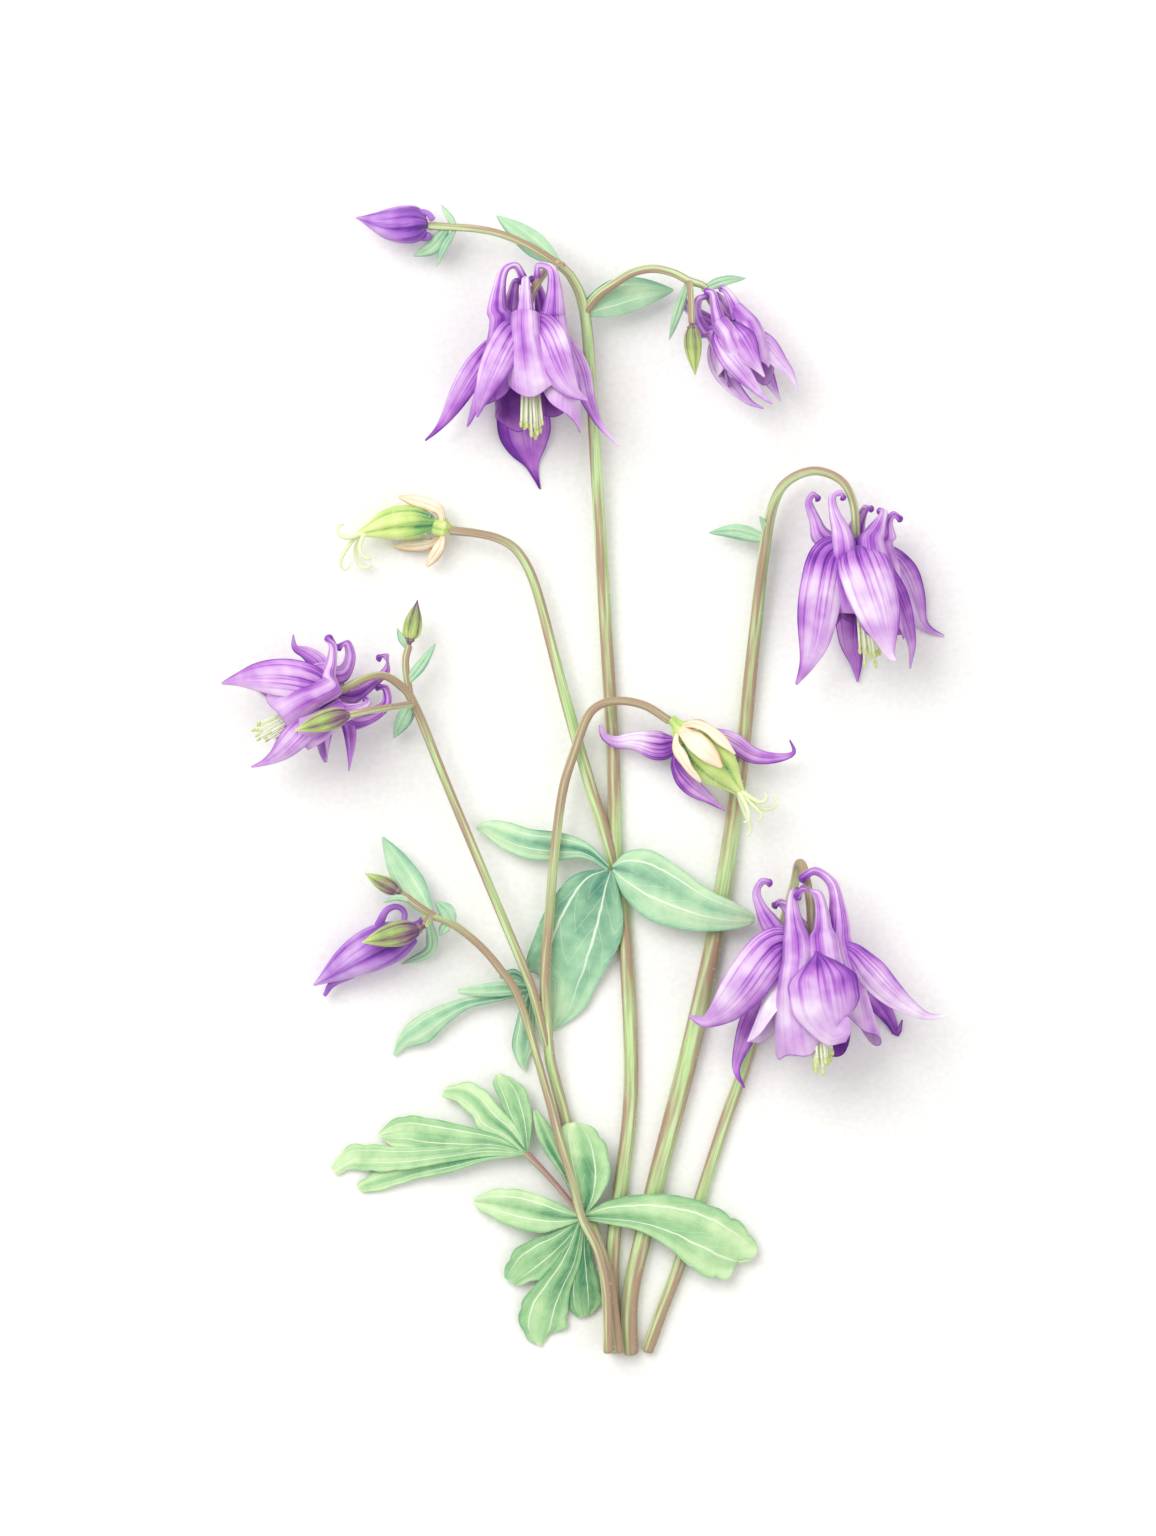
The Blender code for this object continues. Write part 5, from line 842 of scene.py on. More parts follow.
# Each sepal: half width, bend, way of its face, tones, points of its midline
SEPALS = {
    "top": [
        (3.5, CURLED, UP, (0.95, 0.42, 0.5, -0.1), [
            (-13.4, 90.2, 17), (-15.2, 88, 20.4), (-18.2, 82, 22), (-20.6, 76, 21.4),
            (-21.6, 72.4, 20.2)]),
        (4.2, CURLED, UP, (0.95, 0.36, 0.36, -0.1), [
            (-9.8, 91, 17), (-8, 88, 20.4), (-5.6, 82, 21.6), (-2.8, 77.6, 20.4), (0.2, 75.8, 19)]),
        (2.9, CURLED, (-0.3, 0.2, 1), (0.9, 0.55, 0.75, -0.16), [
            (-15.5, 89.5, 11.5), (-19.4, 86.5, 10.5), (-23.5, 80.5, 9.5), (-27, 74.4, 9),
            (-29.6, 70.4, 9.4), (-32, 68, 10.5)]),
        (2.2, 20, (0.5, 0, 0.85), (0.85, 0.5, 0.2, -0.15), [
            (-7.5, 89.8, 11.5), (-3.4, 87.5, 11), (-1, 82.5, 11.5), (0.4, 76.5, 12), (2.6, 71.5, 12.5),
            (6.6, 66.8, 13)]),
        (5.4, CUPPED, UP, (0.9, 0.5, 0.95, -0.1), [
            (-11.6, 89.5, 7.5), (-12, 84, 4.2), (-12.6, 76, 2.4), (-12.2, 69.5, 1.2),
            (-10.8, 63.5, 0.6), (-9.2, 58.6, 0.35)]),
    ],
    "right": [
        (4.5, CURLED, UP, (0.9, 0.36, 0.5, -0.12), [
            (51.4, 46.6, 15.6), (48.4, 45, 18.4), (47, 40, 19), (46, 33.4, 18), (45.2, 27.6, 16.6),
            (43.8, 23.2, 15), (41.8, 19.4, 13.6)]),
        (5.4, CURLED, UP, (0.92, 0.3, 0.3, -0.12), [
            (54, 47, 17), (54.4, 44.6, 20.4), (56, 40, 21.4), (57.8, 34.6, 21), (59.2, 29.6, 20),
            (60.4, 25.2, 19), (61.6, 24.2, 19.6)]),
        (2.4, CURLED, UP, (0.95, 0.6, 0.4, -0.15), [
            (56.6, 46.2, 13), (59, 43.4, 14.6), (61.4, 38, 14.8), (63.4, 32.6, 14), (64.8, 27.4, 13),
            (64.5, 22.6, 12)]),
        (3.2, CUPPED, UP, (0.9, 0.4, 0.3, -0.1), [
            (57.6, 46, 9), (60.8, 45, 6.4), (63.6, 40.8, 4), (65.6, 36, 2.4), (67, 32, 1.2),
            (69, 30.2, 0.7), (71.6, 29.2, 0.4)]),
        (3.6, CUPPED, UP, (0.9, 0.66, 0.5, -0.1), [
            (53, 45, 7), (52.6, 40, 4.6), (53, 34, 3), (53.2, 28, 2), (54, 24, 1.2), (54.3, 20, 0.7)]),
    ],
    "low": [
        (4.8, CURLED, UP, (0.95, 0.32, 0.5, -0.1), [
            (41.5, -32.4, 14.5), (38, -32.6, 17.2), (34.6, -36, 18.4), (31.2, -40.8, 17.4),
            (27.4, -45.2, 14.6), (23.6, -47.6, 11.6), (20.6, -46.6, 10.6)]),
        (7.4, CURLED, UP, (0.82, 0.3, 0.42, -0.06), [
            (45.4, -32.4, 17.6), (46, -34.6, 21.6), (46.8, -39.5, 23.6), (47.8, -45, 23),
            (49.6, -49, 21.4), (52, -46.6, 21.8)]),
        (3.2, CURLED, UP, (0.95, 0.38, -0.05, -0.12), [
            (48.8, -32.6, 14), (52.6, -33.4, 16), (56, -37, 16.4), (60, -41.4, 15.6),
            (64, -44.6, 14.4), (68, -46.6, 13.2), (71.8, -46.4, 12.6)]),
        (3, CUPPED, UP, (0.9, 0.5, 0.75, -0.1), [
            (42.5, -35, 8.6), (38, -40.4, 5.4), (33.4, -47.4, 4.6), (30.8, -53.6, 4.6),
            (30, -57.6, 5.2), (31.6, -61, 5.8)]),
        (2.8, CUPPED, UP, (0.9, 0.65, 0.7, -0.1), [
            (48, -35, 8.4), (52.6, -38.6, 5), (57.6, -43, 2.4), (60.8, -47.6, 0.8), (62.2, -50.4, 0.6),
            (63.2, -47.6, 2)]),
    ],
    "left": [
        (4, CURLED, UP, (0.95, 0.34, 0.4, -0.1), [
            (-52.6, 18.6, 16), (-54.6, 19.6, 18.4), (-58.6, 20.6, 19), (-64, 20.9, 17.6),
            (-69, 20.4, 15.6), (-72.4, 19.6, 14.4)]),
        (3, CURLED, UP, (0.95, 0.45, 0.35, -0.12), [
            (-52, 15, 15.6), (-54, 12.8, 17.4), (-57.4, 9.4, 17.2), (-60.8, 6, 15.4), (-63.8, 4, 12),
            (-66.6, 3, 11)]),
        (1.9, CURLED, UP, (0.9, 0.6, 0.5, -0.1), [
            (-51.4, 19.4, 9.6), (-53, 23.4, 8.6), (-55.6, 25.6, 8.2), (-58, 26.8, 8.4),
            (-58.3, 29.4, 9.6)]),
        (1.4, CURLED, UP, (0.9, 0.6, 0.45, -0.1), [
            (-49.4, 14, 11), (-47.4, 11.4, 10.6), (-46.9, 7.4, 10), (-47.2, 2.2, 9.4)]),
        (3.6, CUPPED, UP, (0.9, 0.7, 0.6, -0.06), [
            (-53, 17, 7), (-57, 17.4, 4), (-62, 18.4, 1.6), (-67, 19.4, 0.4)]),
    ],
    "small": [
        (2.4, CURLED, UP, (0.95, 0.3, 0.3, -0.1), [
            (26.4, 90.2, 13.6), (26.2, 88, 15.4), (28.6, 84.4, 16), (31.8, 80.4, 15.4),
            (35, 76.8, 14.4), (37, 75.2, 14)]),
        (3.2, CURLED, UP, (1, 0.5, 0.1, -0.1), [
            (29, 90.8, 14.4), (30.4, 88.4, 16), (32.4, 85, 16.4), (34, 82.6, 16), (35.4, 80.6, 15.2)]),
        (2.2, CURLED, UP, (0.9, 0.34, 0.2, -0.1), [
            (30.6, 90.8, 11.8), (33, 89.6, 12.4), (36, 86.8, 12.2), (38.4, 83.8, 11.6),
            (40.6, 81.4, 11), (42.2, 78, 10.6)]),
        (2.6, CUPPED, UP, (0.85, 0.4, 0.1, -0.1), [
            (29.6, 89, 7.6), (32.6, 85.4, 6), (36.4, 80.6, 5), (38.8, 76, 4.6)]),
        (2, CUPPED, UP, (0.85, 0.2, 0.5, -0.1), [
            (26.4, 89.4, 8.8), (25.6, 85.6, 8), (28, 80.6, 8), (32, 76.2, 8.2), (35.4, 74.4, 8.6)]),
    ],
}

# Each petal: azimuth of its mouth, middle of its lip, tone, spur's points with their radii
PETALS = {
    "top": [
        (-72, (-23.4, 71.8, 15.5), 0.66, [
            (-17.6, 94, 13.4, 1.8), (-17.2, 98.6, 12.8, 1.15), (-16.2, 102, 12.4, 0.9),
            (-14, 102.8, 12, 0.75), (-12.6, 100.6, 11.6, 0.85)]),
        (-6, (-10.6, 77.2, 21), 0.42, [
            (-12, 93, 17, 1.6), (-12, 97.4, 15.6, 1), (-12, 99.8, 14.2, 0.8), (-12, 99.2, 13, 0.7)]),
        (68, (-1.2, 70.6, 16), 0.42, [
            (-6.4, 94, 15, 1.9), (-6.3, 98.4, 15.4, 1.3), (-7, 102, 15.4, 0.95),
            (-9.4, 102.6, 15.2, 0.8), (-9.6, 100.8, 14.8, 0.85)]),
        (140, (-5, 73.5, 9), 0.6, [
            (-8.4, 93, 8.8, 1.6), (-9.2, 97, 8.6, 1.1), (-10.2, 99.8, 8.8, 0.8),
            (-10.9, 100.2, 9.4, 0.8)]),
        (-142, (-15.5, 70.5, 7), 0.6, [
            (-15, 93, 8.8, 1.6), (-14.6, 97, 8.6, 1.1), (-14, 99.6, 8.8, 0.8), (-13.2, 99.8, 9.4, 0.8)]),
    ],
    "right": [
        (-100, (47, 30, 11), 0.6, [
            (46.4, 49.4, 12, 1.6), (45.6, 52, 12, 1.1), (44.3, 55.6, 12, 0.75), (45.2, 57.2, 12, 0.65),
            (46.1, 56.4, 12, 0.75)]),
        (-36, (51.4, 33.2, 16), 0.66, [
            (50.6, 50, 15.6, 1.6), (49.4, 53.4, 15, 1), (49, 56.6, 14.2, 0.7), (50.6, 57.5, 14, 0.65),
            (51.1, 56.5, 14, 0.75)]),
        (180, (56, 31, 6), 0.6, [
            (53.8, 50.4, 7.8, 1.6), (54.8, 52.8, 8.2, 1), (55.8, 54.6, 8.8, 0.75),
            (56.8, 54.4, 9.4, 0.75)]),
        (36, (59.6, 29.4, 14.6), 0.55, [
            (57.6, 49.8, 15.2, 1.6), (58.6, 52, 14.6, 1), (59.2, 53.6, 13.8, 0.75),
            (58.4, 53.9, 13, 0.75)]),
        (104, (63.4, 28.6, 10), 0.5, [
            (60, 49.4, 12, 1.6), (60, 51.6, 12, 1), (61.2, 53.2, 12, 0.7), (62.5, 52.3, 12, 0.75)]),
    ],
    "low": [
        (-98, (32.2, -52.2, 12), 0.2, [
            (36.4, -28, 13, 1.7), (34.8, -25, 12.6, 1.1), (33.9, -22, 12.4, 0.8),
            (35, -19.8, 12.4, 0.7), (36.5, -20.1, 12.4, 0.85)]),
        (-34, (40.6, -55, 17), 0.42, [
            (41.4, -28.6, 16.6, 1.7), (41, -25.2, 15.8, 1.2), (41.2, -22.2, 14.6, 0.85),
            (42, -21.6, 13.6, 0.8)]),
        (24, (47.6, -47.4, 17), 0.42, [
            (47, -29, 16.6, 1.6), (46.8, -25.4, 16.6, 1.2), (45.8, -22.2, 16.6, 0.95),
            (43.2, -21.2, 16.6, 0.8), (42, -22.8, 16.4, 0.9)]),
        (84, (58.6, -51.6, 11), 0.46, [
            (50.2, -28, 13.4, 2), (49.9, -24, 13.2, 1.4), (48.8, -20, 13, 1.05),
            (45.6, -17.7, 13, 0.85), (43, -19.2, 13, 1)]),
        (172, (48.4, -54.4, 7.6), 0.75, [
            (42, -28.4, 8.2, 1.5), (40.2, -25.4, 8, 1), (38.6, -24, 8.4, 0.8), (37.6, -24.6, 8.8, 0.8)]),
    ],
    "left": [
        (-20, (-62.2, 14.6, 16.6), 0.5, [
            (-51.4, 21, 15.6, 1.4), (-50.6, 24, 15, 1), (-50.3, 27, 15, 0.8), (-51.2, 28.6, 15, 0.95)]),
        (-92, (-57.2, 22.4, 9.6), 0.5, [
            (-48.6, 21.6, 10.4, 1.5), (-47, 24.6, 10, 1.05), (-47.6, 27.6, 10, 0.8),
            (-49.2, 26.8, 10, 0.8)]),
        (-164, (-61, 15, 4.6), 0.5, [
            (-46.6, 17.4, 6.6, 1.6), (-43, 19.4, 6.4, 1), (-39.8, 22.4, 6.4, 0.75),
            (-39.9, 25.2, 6.4, 0.7), (-41.3, 24.7, 6.4, 0.8)]),
        (124, (-52.4, 4.6, 8), 0.5, [
            (-46, 12.6, 8.6, 1.9), (-42.6, 13.4, 8.4, 1.4), (-39.8, 15.6, 8.2, 1),
            (-39.9, 18.6, 8.2, 0.75), (-41.5, 18.9, 8.2, 0.8)]),
        (52, (-56.4, 7.6, 15.6), 0.42, [
            (-48, 13.8, 14.8, 1.6), (-45, 14.6, 14.2, 1), (-43.4, 15.6, 13.6, 0.7),
            (-43.8, 16.4, 13, 0.7)]),
    ],
    "small": [
        (-90, (26.4, 80.4, 10.4), 0.35, [
            (23.4, 89.8, 11.2, 1.4), (22, 93, 11.8, 1), (22.4, 96, 12.6, 0.75), (24, 96.6, 13.2, 0.7)]),
        (-20, (30.6, 81.6, 14.6), 0.4, [
            (26.6, 91.2, 14, 1.3), (25.8, 94.2, 14, 1), (25.2, 97.2, 14, 0.7), (23.9, 97.7, 13.8, 0.7)]),
        (64, (36.4, 83.4, 12.6), 0.4, [
            (30.6, 92.4, 12.4, 1.5), (29.4, 95.2, 12.4, 1.1), (28, 97.6, 12, 0.75),
            (26.9, 98.2, 11.8, 0.7)]),
        (140, (37, 80.6, 7.4), 0.4, [
            (28.6, 93.6, 8, 1.3), (27, 96, 7.4, 0.95), (25.8, 97.2, 7.4, 0.7)]),
        (-150, (30, 79, 7.4), 0.4, [
            (24, 92, 7.8, 1.3), (20.6, 94.4, 7.4, 1), (19.2, 96.4, 7.6, 0.8), (19.8, 97.8, 8, 0.7)]),
    ],
}

# Stalks, through (x, y, z, radius) points
STALKS_OF = {
    "stem_main": [
        [(5.4, -113.6, 1.22, 1.4), (5.2, -103.6, 1.22, 1.4), (5.4, -92.6, 1.22, 1.4),
            (6.6, -83.6, 1.26, 1.45), (8.6, -67.6, 1.26, 1.45), (9, -55.6, 1.26, 1.45),
            (8.4, -39.6, 1.26, 1.45), (7.2, -24.6, 1.26, 1.45), (5.8, -15.6, 1.35, 1.5),
            (5.6, 0.4, 1.4, 1.35), (4.8, 16.4, 1.7, 1.3), (3.6, 36.4, 2.4, 1.25),
            (2.2, 60.4, 3.4, 1.2), (0.8, 82.4, 5.5, 1.15), (-0.4, 94.4, 7.5, 1.1),
            (-2.8, 100.4, 9, 0.95), (-6, 103.6, 10.5, 0.85)],
        [(-5.2, 103.2, 10.2, 0.85), (-8, 101.6, 11.6, 0.8), (-10.6, 97.6, 12, 0.8),
            (-11.569, 93.246, 11.537, 0.8)],
        [(-4.6, 102.6, 10, 0.85), (-11.2, 106.6, 11, 0.75), (-17.2, 109.2, 10, 0.75),
            (-21.8, 110.2, 9, 0.75), (-26.2, 110.6, 8, 0.75), (-29, 110.8, 7.2, 0.8),
            (-31.3, 110.9, 6.9, 0.8)],
        [(-0.4, 93.6, 7.4, 1), (2.4, 97, 8.4, 0.95), (5.8, 99.4, 9.4, 0.9),
            (9.2, 101.4, 10.2, 0.85), (13.2, 102.2, 11, 0.85), (17.2, 101.4, 11.4, 0.8),
            (20.4, 99.8, 11.6, 0.8), (23.6, 98.6, 11.2, 0.7), (24.6, 96, 10.6, 0.65),
            (26.998, 92.645, 10.806, 0.65)],
        [(5.9, -17.6, 1.8, 1.1), (3.6, -9.6, 2.6, 1.25), (0.8, -0.6, 3.2, 1.2),
            (-1.8, 8.4, 3.6, 1.15), (-4.6, 18.4, 3.8, 1.1), (-7.2, 28.4, 4, 1.05),
            (-9.6, 37.4, 4.4, 1), (-11.6, 42.8, 4.8, 0.95), (-14.2, 46.6, 5.2, 0.9),
            (-17.6, 48.6, 5.4, 0.85), (-21.6, 49.6, 5.4, 0.85), (-26.9, 50.2, 5.2, 0.9)],
        [(20.6, 99.6, 11.6, 0.7), (20.8, 97, 14.6, 0.65), (21, 91.3, 15.5, 0.65)],
    ],
    "stem_tall_right": [
        [(8.8, -114, 1.48, 1.7), (8.6, -106.6, 1.48, 1.7), (9.2, -100.6, 1.48, 1.7),
            (11.2, -91.6, 1.52, 1.75), (14.6, -77.6, 1.61, 1.85), (20.8, -53.6, 1.7, 1.95),
            (26, -29.6, 1.65, 1.8), (30.8, 2.4, 1.7, 1.5), (33.4, 26.4, 2.4, 1.3),
            (35.8, 47.4, 4, 1.15), (37.8, 56.4, 6, 1), (40.8, 60.4, 7.4, 0.95), (45.8, 62, 9.4, 0.9),
            (50.8, 60, 11.2, 0.85), (53.2, 55.4, 12.2, 0.85), (53.742, 48.732, 11.892, 0.85)],
    ],
    "stem_low_right": [
        [(12.3, -113.6, 1.12, 1.25), (15.4, -105, 1.12, 1.25), (18.6, -96.6, 1.12, 1.25),
            (24.6, -77.6, 1.1, 1.2), (28.2, -66.6, 1.1, 1.2), (31.8, -56.6, 1.1, 1.15),
            (35.8, -44, 1.1, 1.1), (39, -30, 1.6, 1), (41.6, -20.5, 3, 0.95), (42.4, -16.4, 6, 0.9),
            (43.4, -17.4, 9.4, 0.9), (44.6, -24, 11.6, 0.9), (44.812, -30.725, 12.031, 0.9)],
    ],
    "stem_left": [
        [(6.2, -113.6, 4.6, 1.3), (5.2, -105, 4.6, 1.3), (4, -97.6, 4.5, 1.3),
            (2.6, -93, 3.4, 1.25), (1.2, -88.6, 2.2, 1.25), (-1.6, -79.6, 1.7, 1.2),
            (-4, -68, 1.8, 1.2), (-6.2, -59.6, 2.4, 1.15), (-7.4, -53.6, 3.2, 1.1),
            (-8.2, -39.6, 4.8, 1.05), (-7.4, -27.6, 5.2, 1), (-6.2, -13.6, 5.8, 0.95),
            (-4.6, -1.6, 6, 0.95), (-2.2, 6.4, 6.6, 0.95), (0.2, 12.8, 7, 0.9), (2.8, 15.4, 7.2, 0.85),
            (6.8, 16.2, 7.6, 0.85), (11.8, 15.2, 8.4, 0.85), (16.5, 12.3, 9, 0.85)],
        [(-7.2, -54.6, 3, 0.95), (-9, -47.6, 4.6, 0.95), (-10.4, -42.6, 5.6, 0.95),
            (-11.8, -38.6, 6, 0.9), (-19.6, -20, 6, 0.9), (-27.4, -1.4, 6, 0.9),
            (-34.2, 15.4, 7.4, 0.9), (-37.2, 19.4, 9, 0.85), (-40.4, 21.2, 10.8, 0.8),
            (-44, 20.6, 12, 0.8), (-49.197, 17.974, 11.793, 0.8)],
        [(-35, 16.4, 7.6, 0.8), (-36, 23.4, 8, 0.75), (-35.4, 27.1, 7.6, 0.8)],
        [(-34.6, 15.6, 7.6, 0.8), (-36.6, 15.2, 13, 0.7), (-39.2, 14.8, 18, 0.7),
            (-43, 14.2, 20.6, 0.7), (-46.6, 13.4, 21.4, 0.8)],
    ],
    "stem_bud": [
        [(4.4, -113.6, 7.2, 1), (4, -101.6, 7.2, 0.95), (2.4, -93.6, 7, 0.9), (-0.8, -87, 6.7, 0.9),
            (-2.8, -79.6, 6.2, 0.85), (-5.2, -71.6, 5.9, 0.85), (-8.2, -60.6, 5.8, 0.8),
            (-13.2, -43.6, 6.4, 0.8), (-17.2, -37.2, 6.8, 0.8), (-21.2, -32.6, 7.2, 0.8),
            (-26.2, -28.6, 7.6, 0.8), (-30.4, -26.8, 7.6, 0.8), (-32.4, -27.2, 7.2, 0.8)],
        [(-29.8, -27, 7.6, 0.75), (-33, -25, 7.8, 0.7), (-36.6, -22.4, 7.2, 0.7)],
        [(-31.2, -26.8, 7.4, 0.75), (-31.4, -27.4, 9.6, 0.7), (-32.1, -28.6, 11.4, 0.75)],
    ],
    "leaf_basal": [
        [(-0.6, -87, 4.5, 0.6), (-6.2, -80.2, 4.2, 0.6), (-11.8, -74.2, 3.6, 0.7)],
    ],
}

# Small leaves: base, middle, tip, half width
BRACTS = {
    "stem_main": [
        ((-5.6, 103.2, 10.2), (-12, 108.4, 10.6), (-17.8, 112.8, 9), 2.5),
        ((-0.6, 94, 7.4), (8, 97.2, 6.6), (17.4, 98.2, 5), 3.8),
        ((-25.8, 110.4, 8), (-27.4, 112.8, 8.4), (-28.8, 115, 8.2), 0.7),
        ((-27.8, 110.4, 7.4), (-30.4, 107, 5.8), (-34.4, 105, 4.4), 1.7),
        ((-26, 110.2, 7.8), (-28.4, 106.6, 7.4), (-29.8, 102.8, 6.4), 0.8),
        ((23, 98, 11.4), (27.6, 99.8, 10.6), (31.8, 100.4, 9.2), 1.1),
        ((20.2, 99.6, 11.2), (18.4, 94, 9.4), (16.6, 88.2, 7.6), 1),
    ],
    "stem_tall_right": [
        ((36.2, 48.4, 4.2), (30, 50, 4.6), (24.6, 49.8, 3.6), 1.6),
        ((36.2, 49.4, 4.6), (35.6, 51.4, 5.6), (34.6, 53, 6), 0.8),
    ],
    "stem_left": [
        ((-35.6, 26.6, 7.8), (-36.8, 28.6, 8.6), (-37.6, 30.6, 8.8), 0.7),
        ((-36, 19.4, 8.2), (-32.8, 23.4, 8.6), (-30, 27.6, 7.6), 1.1),
        ((-34.6, 15.8, 7.4), (-36.4, 12.4, 6), (-38.4, 8.8, 3.6), 1.7),
    ],
    "stem_bud": [
        ((-31.4, -26, 7.8), (-36.2, -18.6, 5.4), (-40.6, -11, 4.4), 3),
        ((-26.4, -28.2, 7.8), (-28, -25.6, 8.6), (-30, -23.8, 8.6), 1.7),
        ((-27.4, -28, 7.4), (-28.4, -29.4, 7.2), (-29.2, -30.6, 6.6), 1.1),
        ((-31.4, -27, 6.8), (-31, -33.4, 3.6), (-36.8, -36.4, 1.2), 1.2),
        ((-34.6, -23.8, 7.6), (-37.6, -23, 8.4), (-40.4, -24, 8), 0.6),
    ],
}

